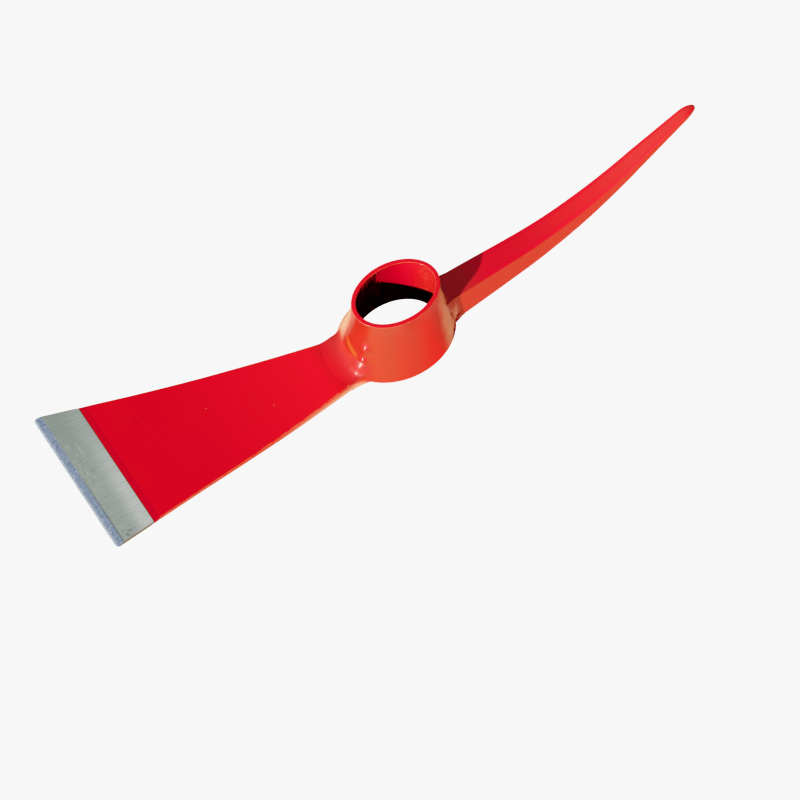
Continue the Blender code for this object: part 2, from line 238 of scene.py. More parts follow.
class Board:
    """The nodes of a material or of the world."""

    speck_core: float = 0.6
    speck_full: float = 0.8

    def __init__(self, owner: "Material | bpy.types.World") -> None:
        """Clear the owner's nodes, but for its output and the place that its patterns follow.

        Args:
            owner: the material or world.
        """
        sky = isinstance(owner, bpy.types.World)
        owner.use_nodes = True
        self.owner = owner
        self.tree = owner.node_tree
        self.tree.nodes.clear()
        self.output = self.node("ShaderNodeOutputWorld" if sky else "ShaderNodeOutputMaterial", {}, {})
        coordinates = self.node("ShaderNodeTexCoord", {}, {}).outputs
        self.place = coordinates["Generated" if sky else "Object"]
        self.facing = coordinates["Normal"]

    def node(self, kind: str, settings: dict, sockets: dict) -> bpy.types.Node:
        """Add a node.

        Args:
            kind: the node's type.
            settings: its own settings, which are set first.
            sockets: the value or link of each input, by name or number.

        Returns:
            The node.
        """
        made = self.tree.nodes.new(kind)
        for name, value in settings.items():
            setattr(made, name, value)
        for key, value in sockets.items():
            socket = made.inputs[key]
            source = value.socket if isinstance(value, Signal) else value
            if isinstance(source, Socket):
                self.tree.links.new(source, socket)
            elif socket.type == "RGBA":
                socket.default_value = (*source, 1.0)
            else:
                socket.default_value = source
        return made

    @cached_property
    def at(self) -> Axes:
        """The place on the object, by axis."""
        return self.axes(self.place)

    @cached_property
    def faces(self) -> Axes:
        """The way that the surface faces, by axis."""
        return self.axes(self.facing)

    def axes(self, vector: Socket) -> Axes:
        """The coordinates of a vector."""
        made = self.node("ShaderNodeSeparateXYZ", {}, {0: vector})
        return Axes(*(Signal(self, socket) for socket in made.outputs))

    def mark(self, mark: Mark) -> Signal:
        """A value that the mesh carries on its points."""
        made = self.node("ShaderNodeAttribute", {"attribute_name": mark.value}, {})
        return Signal(self, made.outputs["Fac"])

    def stretched(self, stretch: float | Sequence[float]) -> Socket:
        """The place on the object, scaled alike or by axis. A grain runs along the axis that is scaled least.

        Args:
            stretch: the scale.

        Returns:
            The scaled place.
        """
        scale = (stretch,) * 3 if isinstance(stretch, float) else tuple(stretch)
        made = self.node("ShaderNodeVectorMath", {"operation": "MULTIPLY"}, {0: self.place, 1: scale})
        return made.outputs["Vector"]

    def noise(self, grain: Grain) -> Signal:
        """Cloudy noise from 0 to 1, stepped where its pattern says so.

        Args:
            grain: its pattern.

        Returns:
            The noise.
        """
        layers = {"Scale": 1.0, "Detail": grain.detail, "Roughness": grain.roughness}
        made = self.node("ShaderNodeTexNoise", {}, {"Vector": self.stretched(grain.stretch), **layers})
        found = Signal(self, made.outputs[0])
        return found.step(*grain.ramp) if grain.ramp else found

    def specks(self, density: float, size: float, keep: float) -> Signal:
        """Sparse round specks, 1 inside.

        Args:
            density: how many cells there are in a metre.
            size: a speck's radius as a share of a cell.
            keep: the share of the cells that has a speck.

        Returns:
            The mask of the specks.
        """
        made = self.node("ShaderNodeTexVoronoi", {}, {"Vector": self.stretched(density), "Scale": 1.0})
        near = Signal(self, made.outputs["Distance"]).step(size, size * self.speck_core)
        lot = self.node("ShaderNodeSeparateColor", {}, {0: made.outputs["Color"]}).outputs[0]
        return near * Signal(self, lot).step(1 - keep, 1 - keep * self.speck_full)

    def mix(self, first: Colour | Socket, second: Colour | Socket, share: Signal) -> Socket:
        """A colour between two colours.

        Args:
            first: the colour where share is 0.
            second: the colour where share is 1.
            share: how much of the second there is.

        Returns:
            The mixed colour.
        """
        sockets = {MIX_SHARE: share, MIX_FIRST: first, MIX_SECOND: second}
        return self.node("ShaderNodeMix", {"data_type": "RGBA"}, sockets).outputs[MIX_RESULT]

    def over(
        self, under: Colour | Socket, layer: Layer, value: Signal, where: Signal | None = None
    ) -> Socket:
        """Lay a colour over another.

        Args:
            under: the colour below.
            layer: the colour on top.
            value: the signal that brings it in.
            where: how much of it each place takes, if not all.

        Returns:
            The mixed colour.
        """
        share = value.step(*layer.ramp)
        return self.mix(under, layer.colour, share if where is None else share * where)

    def bump(self, height: Signal, depth: float, strength: float) -> Socket:
        """A surface normal that follows a height.

        Args:
            height: the height, from 0 to 1.
            depth: what a height of 1 stands for, in metres.
            strength: how strongly it shows.

        Returns:
            The normal.
        """
        made = self.node("ShaderNodeBump", {}, {"Strength": strength, "Distance": depth, "Height": height})
        return made.outputs["Normal"]

    def finish(self, sockets: dict, kind: str = "ShaderNodeBsdfPrincipled") -> "Material | bpy.types.World":
        """Close the nodes with a shader.

        Args:
            sockets: the value or link of each of the shader's inputs, by name.
            kind: the shader's type.

        Returns:
            The material or world.
        """
        shader = self.node(kind, {}, sockets)
        self.tree.links.new(shader.outputs[0], self.output.inputs["Surface"])
        return self.owner


@dataclass(frozen=True)
class RedEnamel:
    """Glossy red enamel, sprayed by hand. Its tones by part and by facing stand partly for light and shade:
    lighter on the blade than on the eye and the pick to even out the key light, a painted sky haze on the
    pick's top, and a lighter, more orange painted light on upright faces.

    A ramp holds the values between which a step comes in, and its top where that is not 1.
    """

    name: str = "red_enamel"
    # A darker tone around the eye and the arms' roots: partly painted shade, deepening the eye's shadow on the
    # pick's root.
    middle: Colour = (0.485, 0.038, 0.045)
    # The blade's tone is lighter than the pick's, since the key light reaches the blade least: painted light
    # and shade.
    full: Layer = Layer((0.860, 0.003, 0.023), (-0.036, -0.062))
    deep: Layer = Layer((0.650, 0.005, 0.027), (0.045, 0.070))
    # A pinker tone over the pick's top towards its point is a painted sky haze, kept off the bands that tilt
    # sideways.
    thin: Layer = Layer((0.575, 0.042, 0.044), (0.020, 0.230))
    shoulder: Ramp = (0.03, 0.08, 0.80)
    clouds: Grain = Grain(26.0, 3.0, ramp=(0.40, 0.75, 0.06))
    # Upright faces take a lighter, more orange tone: painted light from the low key lamp, lighter still along
    # the blade's sides, and painted shade where the blade's weld meets the wall.
    upright: Colour = (0.650, 0.048, 0.032)
    side_light_ramp: Ramp = (0.97, 0.25, 0.94)
    lit: Layer = Layer((0.820, 0.110, 0.060), (-0.030, -0.060))
    corner: Layer = Layer((0.520, 0.066, 0.038), (-0.0345, -0.0290))
    blade_half: Ramp = (0.0, -0.010)
    # A peach tone on the flanks, partly dry dust and partly painted reflected light; on the blade's side the
    # cream tone below turns it into painted glare and highlight.
    dust: Colour = (1.000, 0.400, 0.225)
    pale_glare: Layer = Layer((1.000, 0.630, 0.420), (-0.018, -0.026))
    dust_waves: float = 0.20
    dust_grain: Grain = Grain((160.0, 160.0, 50.0))
    dust_runs: Grain = Grain((380.0, 380.0, 45.0), 3.0, ramp=(0.30, 0.65, 0.20))
    dust_least: float = 0.80
    dust_upright: Ramp = (0.62, 0.40)
    flank_ahead: Ramp = (0.43, 0.72)
    flank_across: Ramp = (0.10, -0.30)
    flank_lean: float = 0.14
    flank_slope: float = -5.0
    toe_along: tuple[Ramp, Ramp] = ((0.0305, 0.0330), (0.0430, 0.0345))
    toe_across: Ramp = (-0.30, -0.60)
    toe_height: Ramp = (0.019, 0.011)
    back_across: tuple[Ramp, Ramp] = ((0.30, 0.62), (0.95, 0.66))
    back_ahead: Ramp = (-0.15, -0.55)
    root_along: tuple[Ramp, Ramp] = ((-0.120, -0.055), (-0.033, -0.040))
    root_across: Ramp = (-0.70, -0.98)
    root_start: float = 0.040
    root_height: float = 0.0033
    root_slope: float = 0.1525
    root_curve: float = 0.719
    root_border: Ramp = (-0.0025, 0.0010, 0.92)
    # A light orange tone along rounded edges: a painted highlight.
    edge_highlight: Colour = (0.780, 0.160, 0.085)
    edge_highlight_share: float = 0.30
    edge_highlight_grain: Grain = Grain(240.0, 3.0, ramp=(0.25, 0.60))
    chip: Layer = Layer((0.180, 0.030, 0.022), (0.55, 0.95, 0.80))
    chip_grain: Grain = Grain(420.0, ramp=(0.77, 0.81))
    pit: Colour = (0.500, 0.006, 0.040)
    speck: Colour = (0.780, 0.360, 0.300)
    speck_cells: float = 95.0
    speck_size: float = 0.045
    speck_keep: float = 0.10
    speck_share: float = 0.80
    gloss: float = 0.40
    gloss_change: float = 0.10
    gloss_grain: Grain = Grain(70.0, 3.0)
    specular: float = 0.25
    coat: float = 0.45
    dull_coat: float = 0.14
    dull_ramp: Ramp = (-0.048, -0.105)
    coat_roughness: float = 0.20
    peel: Grain = Grain(420.0, 0.0)
    peel_share: float = 0.25
    waves: Grain = Grain(75.0)
    relief_depth: float = 0.00005
    relief_strength: float = 0.05

    def tone(self, board: Board) -> Socket:
        """The paint's tone by part and by facing, set partly as painted light and shade: painted shade around
        the eye and the pick's root, a lighter blade, painted sky haze on the pick's top, painted light on
        upright faces, and dust with painted glare on the flanks.

        Args:
            board: the material under way.

        Returns:
            The colour.
        """
        along = board.at.x
        # Tones by part, set partly to even out the key light: painted shade around the roots and a painted haze
        # on the pick.
        colour = board.over(self.middle, self.full, along)
        colour = board.over(colour, self.deep, along)
        colour = board.over(colour, self.thin, along, 1 - abs(board.faces.y).step(*self.shoulder))
        # Upright faces take the painted light of the side tone.
        upright = abs(board.faces.z).step(*self.side_light_ramp)
        colour = board.mix(colour, self.side(board), board.noise(self.clouds) + upright)
        # Dust and painted glare on the flanks, and a painted highlight on the blade's root.
        return board.mix(colour, board.over(self.dust, self.pale_glare, along), self.dust_and_glare(board))

    def side(self, board: Board) -> Socket:
        """The tone of upright faces, painted light: lighter still along the blade, and darker and warmer where
        its weld meets the wall, painted shade.
        """
        plain = board.over(self.upright, self.lit, board.at.x)
        return board.over(plain, self.corner, board.at.x, board.at.x.step(*self.blade_half))

    def dust_and_glare(self, board: Board) -> Signal:
        """Where the wall takes a peach tone, laid by which way it faces, with wavy borders: partly dry dust and
        partly painted reflected light and glare.

        Args:
            board: the material under way.

        Returns:
            The share on the eye's near flank by the pick and at the toe of the pick's weld, dust and painted
            reflected light; on the eye's far flank by the blade, painted glare; and on the blade's root, a
            painted highlight.
        """
        ahead, across, height = board.faces.x, board.faces.y, board.at.z
        waves = board.noise(self.dust_grain).around(0.0, self.dust_waves)
        lean = height * self.flank_slope + self.flank_lean
        flank = (ahead + waves + lean).step(*self.flank_ahead) * (across + waves).step(*self.flank_across)
        toe = board.at.x.band(*self.toe_along) * across.step(*self.toe_across) * height.step(*self.toe_height)
        back = (across + waves).band(*self.back_across) * ahead.step(*self.back_ahead)
        runs = board.noise(self.dust_runs) + self.dust_least
        walls = (flank.most(toe) + back) * board.faces.z.step(*self.dust_upright) * runs
        return walls + self.root_highlight(board)

    def root_highlight(self, board: Board) -> Signal:
        """A painted highlight on the lower part of the near side of the blade's root.

        Args:
            board: the material under way.

        Returns:
            The share of the painted highlight.
        """
        along = board.at.x
        out = along * -1.0 - self.root_start
        border = out * out * self.root_curve + out * self.root_slope + self.root_height
        root = along.band(*self.root_along) * board.faces.y.step(*self.root_across)
        return root * (border - board.at.z).step(*self.root_border)

    def colour(self, board: Board) -> Socket:
        """The paint's colour: its tone, a painted highlight and chips along edges, and dust under the last
        coat.

        Args:
            board: the material under way.

        Returns:
            The colour.
        """
        edge = board.mark(Mark.EDGE)
        # Painted highlight along the edges, broken up by noise.
        edge_highlight_mask = edge * board.noise(self.edge_highlight_grain) * self.edge_highlight_share
        colour = board.mix(self.tone(board), self.edge_highlight, edge_highlight_mask)
        colour = board.over(colour, self.chip, edge, board.noise(self.chip_grain))
        colour = board.mix(colour, self.pit, board.mark(Mark.PIT))
        specks = board.specks(self.speck_cells, self.speck_size, self.speck_keep)
        return board.mix(colour, self.speck, specks * self.speck_share)

    def material(self) -> Material:
        """Make the material.

        Returns:
            The enamel.
        """
        board = Board(bpy.data.materials.new(self.name))
        return board.finish(
            {
                "Base Color": self.colour(board),
                "Roughness": self.roughness(board),
                "Specular IOR Level": self.specular,
                "Coat Weight": self.coat_cover(board),
                "Coat Roughness": self.coat_roughness,
                "Normal": self.relief(board),
            }
        )

    def roughness(self, board: Board) -> Signal:
        """The enamel's roughness, duller in patches."""
        return board.noise(self.gloss_grain).around(self.gloss, self.gloss_change)

    def coat_cover(self, board: Board) -> Signal:
        """How much clear gloss lies on the paint: less towards the bit, where it is rubbed."""
        return board.at.x.step(*self.dull_ramp) * (self.dull_coat - self.coat) + self.coat

    def relief(self, board: Board) -> Socket:
        """Orange peel over slow waves in the paint."""
        height = board.noise(self.peel) * self.peel_share + board.noise(self.waves)
        return board.bump(height, self.relief_depth, self.relief_strength)


@dataclass(frozen=True)
class MaskedEnamel(RedEnamel):
    """The blade's enamel, which ends in a straight masked line with a thicker, darker strip beside it."""

    name: str = "masked_enamel"
    # A lighter painted highlight along the blade's edges.
    edge_highlight: Colour = (0.860, 0.240, 0.140)
    edge_highlight_share: float = 0.75
    line: float = -0.202
    strip: Layer = Layer((0.720, 0.002, 0.024), (0.0052, 0.003744))
    ragged_depth: float = 0.0012
    ragged_grain: Grain = Grain(60.0, 3.0)
    primer: Layer = Layer((0.130, 0.085, 0.030), (0.00039, 0.00021, 0.75))
    scuff: Colour = (0.330, 0.002, 0.018)
    scuff_place: Pair = (-0.1740, 0.0215)
    scuff_size: Pair = (0.0070, 0.0045)
    scuff_grain: Grain = Grain((520.0, 260.0, 260.0), 3.0, ramp=(0.42, 0.68, 0.80))
    nib: Colour = (0.900, 0.300, 0.160)
    nibs: tuple[Pair, ...] = ((-0.1342, 0.0107), (-0.0961, -0.0068), (-0.1612, -0.0374))
    nib_size: float = 0.0007

    def spot(self, board: Board, place: Pair, size: Pair) -> Signal:
        """A soft spot at an X and a Y, 1 in its middle, with half its length and half its width."""
        return board.at.x.near(place[0], size[0], 0.0) * board.at.y.near(place[1], size[1], 0.0)

    def colour(self, board: Board) -> Socket:
        """The paint's colour, with a scuff, nibs, and the strip and a hair of primer at the masked line.

        Args:
            board: the material under way.

        Returns:
            The colour.
        """
        scuffed = self.spot(board, self.scuff_place, self.scuff_size) * board.noise(self.scuff_grain)
        colour = board.mix(super().colour(board), self.scuff, scuffed)
        for place in self.nibs:
            colour = board.mix(colour, self.nib, self.spot(board, place, (self.nib_size, self.nib_size)))
        away = board.at.x - self.line
        ragged = board.noise(self.ragged_grain).around(0.0, self.ragged_depth)
        colour = board.over(colour, self.strip, away + ragged)
        return board.over(colour, self.primer, away)


@dataclass(frozen=True)
class SocketEnamel(RedEnamel):
    """The eye's enamel: full outside and on the rim, and in the bore only where the spray reached. That reach
    is laid along the key light, so the near-black bore beyond it is also painted shadow, and the wall's tones
    by facing are painted light and shade.
    """

    name: str = "socket_enamel"
    # A paler painted highlight along the rim's edges.
    edge_highlight: Colour = (0.820, 0.300, 0.180)
    edge_highlight_share: float = 0.75
    middle: Colour = (0.690, 0.014, 0.030)
    # Wall tones by facing: painted shade where the wall faces the key lamp, painted light where it turns away.
    behind: Colour = (0.465, 0.047, 0.032)
    warm: Layer = Layer((0.485, 0.066, 0.035), (-0.92, -0.76))
    front: Layer = Layer((0.590, 0.050, 0.032), (-0.50, -0.15))
    turned: Layer = Layer((0.890, 0.029, 0.031), (-0.16, 0.30))
    # The orange line slanting down the wall behind the blade is a painted highlight.
    streak_highlight: Colour = (0.620, 0.140, 0.012)
    streak_height: float = 0.0207
    streak_slope: float = 0.457
    streak_off: Ramp = (0.0032, 0.00064)
    streak_ends: tuple[Ramp, Ramp] = ((-0.0102, -0.0038), (0.0082, 0.0018))
    streak_back: Ramp = (-0.020, -0.028)
    bore: Colour = (0.790, 0.002, 0.034)
    bore_thin: Layer = Layer((0.700, 0.044, 0.050), (0.018, 0.028))
    splash: Layer = Layer((0.820, 0.130, 0.070), (0.018, 0.028, 0.70))
    splash_grain: Grain = Grain((260.0, 260.0, 130.0), 4.0, ramp=(0.52, 0.70))
    # Near-black scale deep in the bore, partly painted shadow of the rim.
    scale: Colour = (0.0070, 0.0016, 0.0030)
    mist: Colour = (0.0500, 0.0015, 0.0060)
    mist_grain: Grain = Grain((160.0, 160.0, 60.0), 4.0, ramp=(0.50, 0.80))
    bare_grain: Grain = Grain((700.0, 700.0, 35.0), 3.0)
    bare_border: Ramp = (0.03, -0.03)
    bare_runs: Ramp = (0.008, -0.010, 0.80)
    bare_least: float = 0.08
    scale_roughness: float = 0.85
    bore_roughness: float = 0.62
    coat: float = 0.50
    coat_collar: Ramp = (0.20, 0.02, 0.28)
    coat_pick: Ramp = (-0.10, 0.25, 0.85)
    drop_faces: Ramp = (0.35, 0.55)
    drop_heights: Ramp = (0.045, 0.040)

    def bare(self, board: Board) -> Signal:
        """Where the bore is dark: bare forge scale beyond the spray's reach, laid along the key light so that
        it also stands for the rim's painted shadow, with a streaky border.

        Args:
            board: the material under way.

        Returns:
            The share of dark scale and painted shadow.
        """
        runs = board.at.x.step(*self.bare_runs) + self.bare_least
        reach = board.mark(Mark.SPRAY) + (board.noise(self.bare_grain) - NOISE_MIDDLE) * runs
        return reach.step(*self.bare_border) * board.mark(Mark.INSIDE)

    def tone(self, board: Board) -> Socket:
        """The outside's tone with a painted highlight streak, and in the bore a dry coat that thins out towards
        the pick.

        Args:
            board: the material under way.

        Returns:
            The colour.
        """
        dry = board.over(self.bore, self.bore_thin, board.at.x)
        dry = board.over(dry, self.splash, board.at.x, board.noise(self.splash_grain))
        # Painted highlight streak on the wall behind the blade.
        outside = board.mix(super().tone(board), self.streak_highlight, self.run(board))
        return board.mix(outside, dry, board.mark(Mark.INSIDE))

    def run(self, board: Board) -> Signal:
        """Where a painted orange highlight slants down the wall behind the blade.

        Args:
            board: the material under way.

        Returns:
            The share of the painted highlight.
        """
        across = board.at.y
        off = (board.at.z - across * self.streak_slope).near(self.streak_height, *self.streak_off)
        return off * across.band(*self.streak_ends) * board.at.x.step(*self.streak_back)

    def side(self, board: Board) -> Socket:
        """The tone of the wall by which way it faces, painted light and shade: darker and warmer where it faces
        the key lamp at the blade's corner, lighter where it turns away towards the pick.

        Args:
            board: the material under way.

        Returns:
            The colour.
        """
        wall = self.behind
        for layer in (self.warm, self.front, self.turned):
            wall = board.over(wall, layer, board.faces.x)
        return wall

    def colour(self, board: Board) -> Socket:
        """The paint's colour, with dark scale that is also painted shadow, and a mist of overspray on it deep
        in the bore.
        """
        dark = board.mix(self.scale, self.mist, board.noise(self.mist_grain))
        return board.mix(super().colour(board), dark, self.bare(board))

    def roughness(self, board: Board) -> Signal:
        """The enamel's roughness, drier in the bore, and the scale's where it is bare.

        Args:
            board: the material under way.

        Returns:
            The roughness.
        """
        outside = super().roughness(board)
        painted = outside + board.mark(Mark.INSIDE) * (self.bore_roughness - outside)
        return painted + self.bare(board) * (self.scale_roughness - painted)

    def coat_cover(self, board: Board) -> Signal:
        """How much clear gloss lies on the paint.

        Args:
            board: the material under way.

        Returns:
            The gloss: full on weld drops, less near the collar and towards the pick, and none in the bore.
        """
        collar = board.faces.z.step(*self.coat_collar)
        dull = (board.faces.x + collar).step(*self.coat_pick)
        drops = board.faces.z.step(*self.drop_faces) * board.at.z.step(*self.drop_heights)
        return (1 - board.mark(Mark.INSIDE)) * (1 - dull) * (drops * (1.0 - self.coat) + self.coat)


@dataclass(frozen=True)
class GroundSteel:
    """Bare steel ground along the head: fine streaks, a painted highlight sweeping along the paint line and the
    near side, scratches by the bevel, and stains.
    """

    name: str = "ground_steel"
    line: float = -0.202
    bevel: float = -0.2248
    body: Colour = (0.535, 0.625, 0.572)
    # A painted highlight: the light sweep near the paint line and along the near side.
    bright: Colour = (0.940, 1.000, 0.960)
    sweep: Ramp = (-0.2170, -0.2040)
    near: Ramp = (0.0500, -0.0350)
    sweep_shine: float = 0.25
    near_shine: float = 0.25
    both_shine: float = 0.65
    shine_least: float = 0.6
    streaky: float = 0.8
    fine: Grain = Grain((110.0, 3000.0, 110.0), 2.0, 0.6)
    broad: Grain = Grain((14.0, 520.0, 14.0))
    light_lines: Layer = Layer((0.800, 0.860, 0.810), (0.50, 0.80, 0.45))
    dark_lines: Layer = Layer((0.300, 0.345, 0.315), (0.48, 0.22, 0.55))
    dark_bands: Layer = Layer((0.300, 0.345, 0.315), (0.56, 0.80, 0.13))
    scratch: Colour = (0.860, 0.880, 0.800)
    scratch_grain: Grain = Grain((1700.0, 150.0, 150.0), ramp=(0.56, 0.64, 0.85))
    scratch_along: Ramp = (-0.2198, 0.0065, 0.0030)
    scratch_across: Ramp = (0.0060, 0.0260, 0.0120)
    stain: Colour = (0.130, 0.140, 0.110)
    smudge_grain: Grain = Grain(700.0, 3.0, ramp=(0.46, 0.60, 0.45))
    smudge_along: Ramp = (-0.2195, 0.0040, 0.0010)
    smudge_across: Ramp = (-0.0448, 0.0040, 0.0010)
    bevel_stain: Ramp = (0.00112, 0.0, 0.80)
    stain_near: Ramp = (0.014, -0.030)
    stain_least: float = 0.5
    lap: Layer = Layer((0.330, 0.250, 0.070), (0.00049, 0.0, 0.60))
    sawn: Layer = Layer((0.200, 0.150, 0.095), (0.55, 0.90, 0.85))
    metallic: float = 0.60
    gloss: float = 0.42
    gloss_change: float = 0.16
    broad_groove: float = 0.6
    groove_depth: float = 0.00004
    groove_strength: float = 0.35

    def colour(self, board: Board, fine: Signal, broad: Signal) -> Socket:
        """The steel's colour.

        Args:
            board: the material under way.
            fine: the fine streaks.
            broad: the broader streaks.

        Returns:
            The colour.
        """
        along, across = board.at.x, board.at.y
        sweep, near = along.step(*self.sweep), across.step(*self.near)
        # Painted highlight, broken up by the broad streaks.
        shine = near * (sweep * self.both_shine + self.near_shine) + sweep * self.sweep_shine
        colour = board.mix(self.body, self.bright, shine * (broad * self.streaky + self.shine_least))
        colour = board.over(colour, self.light_lines, fine)
        colour = board.over(colour, self.dark_lines, fine)
        colour = board.over(colour, self.dark_bands, broad)
        patch = along.near(*self.scratch_along) * across.near(*self.scratch_across)
        colour = board.mix(colour, self.scratch, board.noise(self.scratch_grain) * patch)
        patch = along.near(*self.smudge_along) * across.near(*self.smudge_across)
        colour = board.mix(colour, self.stain, board.noise(self.smudge_grain) * patch)
        patch = (along - self.bevel).step(*self.bevel_stain) * across.step(*self.stain_near)
        colour = board.mix(colour, self.stain, patch * (broad * self.streaky + self.stain_least))
        colour = board.over(colour, self.lap, self.line - along)
        return board.over(colour, self.sawn, abs(board.faces.y))

    def material(self) -> Material:
        """Make the material.

        Returns:
            The ground steel.
        """
        board = Board(bpy.data.materials.new(self.name))
        fine, broad = board.noise(self.fine), board.noise(self.broad)
        grooves = fine + broad * self.broad_groove
        return board.finish(
            {
                "Base Color": self.colour(board, fine, broad),
                "Metallic": self.metallic,
                "Roughness": fine.around(self.gloss, self.gloss_change),
                "Normal": board.bump(grooves, self.groove_depth, self.groove_strength),
            }
        )


@dataclass(frozen=True)
class BevelSteel:
    """The freshly ground bevel: bluish and grainy, with painted glints, and worn bright along the edge."""

    name: str = "bevel_steel"
    edge: float = -0.230
    body: Colour = (0.285, 0.370, 0.525)
    dark: Layer = Layer((0.170, 0.215, 0.310), (0.54, 0.30, 0.85))
    worn: Layer = Layer((0.760, 0.820, 0.880), (0.0022, 0.0))
    worn_least: float = 0.3
    streaky: float = 0.8
    # Light specks over the grains: painted glints.
    painted_glint: Layer = Layer((0.780, 0.840, 0.930), (0.57, 0.70, 0.75))
    lines: Grain = Grain((320.0, 1500.0, 320.0))
    grains: Grain = Grain(1500.0)
    metallic: float = 0.55
    gloss: float = 0.46
    gloss_change: float = 0.20
    grain_share: float = 0.5
    grain_depth: float = 0.00006
    grain_strength: float = 0.50

    def material(self) -> Material:
        """Make the material.

        Returns:
            The bevel's steel.
        """
        board = Board(bpy.data.materials.new(self.name))
        lines, grains = board.noise(self.lines), board.noise(self.grains)
        colour = board.over(self.body, self.dark, lines)
        colour = board.over(colour, self.worn, board.at.x - self.edge, lines * self.streaky + self.worn_least)
        relief = lines + grains * self.grain_share
        # The grains take painted glints.
        return board.finish(
            {
                "Base Color": board.over(colour, self.painted_glint, grains),
                "Metallic": self.metallic,
                "Roughness": grains.around(self.gloss, self.gloss_change),
                "Normal": board.bump(relief, self.grain_depth, self.grain_strength),
            }
        )


class Gauge:
    """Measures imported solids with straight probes."""

    def __init__(self, nodes: Sequence[Solid]) -> None:
        """Take in the faces of some nodes.

        Args:
            nodes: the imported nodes.
        """
        points: list[Vector] = []
        faces: list[list[int]] = []
        for node in nodes:
            first = len(points)
            points.extend(vertex.co.copy() for vertex in node.data.vertices)
            faces.extend([first + i for i in face.vertices] for face in node.data.polygons)
        self.tree = BVHTree.FromPolygons(points, faces)

    def touch(self, start: Sequence[float], way: Sequence[float]) -> Vector | None:
        """The first point that a probe meets, if it meets one."""
        return self.tree.ray_cast(Vector(start), Vector(way))[0]

    def heights(self, x: float) -> Pair | None:
        """Measure the solids' heights over their middle line.

        Args:
            x: the place along X.

        Returns:
            The heights of the top and the bottom, or None where there is no solid.
        """
        upper = self.touch((x, 0.0, PROBE_REACH), (0, 0, -1))
        lower = self.touch((x, 0.0, -PROBE_REACH), (0, 0, 1))
        return None if upper is None or lower is None else (upper.z, lower.z)


@dataclass(frozen=True)
class Section:
    """A four-cornered section of an arm: half-widths and heights of its top and bottom."""

    top_half: float
    bottom_half: float
    top: float
    bottom: float

    def corners(self) -> list[Vector]:
        """The section's corners.

        Returns:
            Vectors of Y and Z, from the bottom's -Y end, against the clock seen from +X.
        """
        return [
            Vector((-self.bottom_half, self.bottom)),
            Vector((self.bottom_half, self.bottom)),
            Vector((self.top_half, self.top)),
            Vector((-self.top_half, self.top)),
        ]

    def inset(self, depth: float) -> "Section":
        """The section with every face moved in."""
        return Section(self.top_half - depth, self.bottom_half - depth, self.top - depth, self.bottom + depth)

    def side(self, share: float, sign: float, foot: float) -> Vector:
        """A point on one side.

        Args:
            share: how far up it is, from the bottom (0) to the top (1).
            sign: which side it is on.
            foot: the radius of the rounded lower corner.

        Returns:
            Its Y and Z.
        """
        half = blend(self.bottom_half, self.top_half, share)
        lift = (self.top - self.bottom) * share
        short = max(foot - lift, 0.0)
        return Vector((sign * (half - foot + math.sqrt(foot ** 2 - short ** 2)), self.bottom + lift))

    def side_normal(self, sign: float) -> Vector:
        """The outward direction of one side, as a vector of Y and Z."""
        return Vector((sign * (self.top - self.bottom), self.bottom_half - self.top_half)).normalized()


@dataclass
class ArmProfile:
    """The measured sections of an arm, by their distance from the eye's axis."""

    side: Side
    distances: np.ndarray
    sizes: np.ndarray

    @classmethod
    def measured(cls, side: Side, gauge: Gauge, root: float, end: float, reach: float) -> "ArmProfile":
        """Measure an arm.

        Args:
            side: which way the arm runs.
            gauge: probes for the arm's solids.
            root: the distance inside which the section stays the same.
            end: the last distance that is measured.
            reach: the distance out to which the last slope is carried on.

        Returns:
            The profile.
        """
        found = []
        for distance in np.arange(root + ROOT_CLEAR, end, PROBE_STEP):
            sizes = cls._probe(gauge, side.value * distance)
            if sizes:
                found.append((distance, *sizes))
        table = np.array(found)
        table[1:-1, 1:] = np.median(np.stack([table[:-2, 1:], table[1:-1, 1:], table[2:, 1:]]), axis=0)
        for column in range(1, table.shape[1]):
            table[1:-1, column] = np.convolve(table[:, column], PROBE_KERNEL, "valid")
        first, last = table[0], table[-1]
        first_slope = (table[ROOT_RUN] - first) / (table[ROOT_RUN, 0] - first[0])
        last_slope = (last - table[-1 - END_RUN]) / (last[0] - table[-1 - END_RUN, 0])
        at_root = first + first_slope * (root - first[0])
        inside = at_root.copy()
        inside[0] = 0.0
        table = np.vstack([inside, at_root, table, last + last_slope * (reach - last[0])])
        return cls(side, table[:, 0], table[:, 1:])

    @staticmethod
    def _probe(gauge: Gauge, x: float) -> tuple[float, float, float, float] | None:
        """Measure one section.

        Args:
            gauge: probes for the arm's solids.
            x: its place along X.

        Returns:
            The top's and bottom's half-widths and heights, or None where the probes miss the solid.
        """
        heights = gauge.heights(x)
        if heights is None:
            return None
        top, bottom = heights
        levels = (blend(bottom, top, share) for share in PROBE_SHARES)
        low, high = (gauge.touch((x, PROBE_REACH, level), (0, -1, 0)) for level in levels)
        if low is None or high is None:
            return None
        margin = (high.y - low.y) * PROBE_SHARES[0] / (PROBE_SHARES[1] - PROBE_SHARES[0])
        return high.y + margin, low.y - margin, top, bottom

    def widened(self, extra: float, start: float, end: float) -> "ArmProfile":
        """The same arm, a little wider at its root.

        Args:
            extra: how far each side moves out at the root.
            start: the distance at which that begins to fade.
            end: the distance at which it ends.

        Returns:
            The wider profile.
        """
        shares = np.array([1 - smooth(start, end, distance) for distance in self.distances])
        sizes = self.sizes.copy()
        sizes[:, :2] += extra * shares[:, None]
        return ArmProfile(self.side, self.distances, sizes)

    def at(self, distance: float) -> Section:
        """The section at a distance from the eye's axis."""
        return Section(*(float(np.interp(distance, self.distances, column)) for column in self.sizes.T))


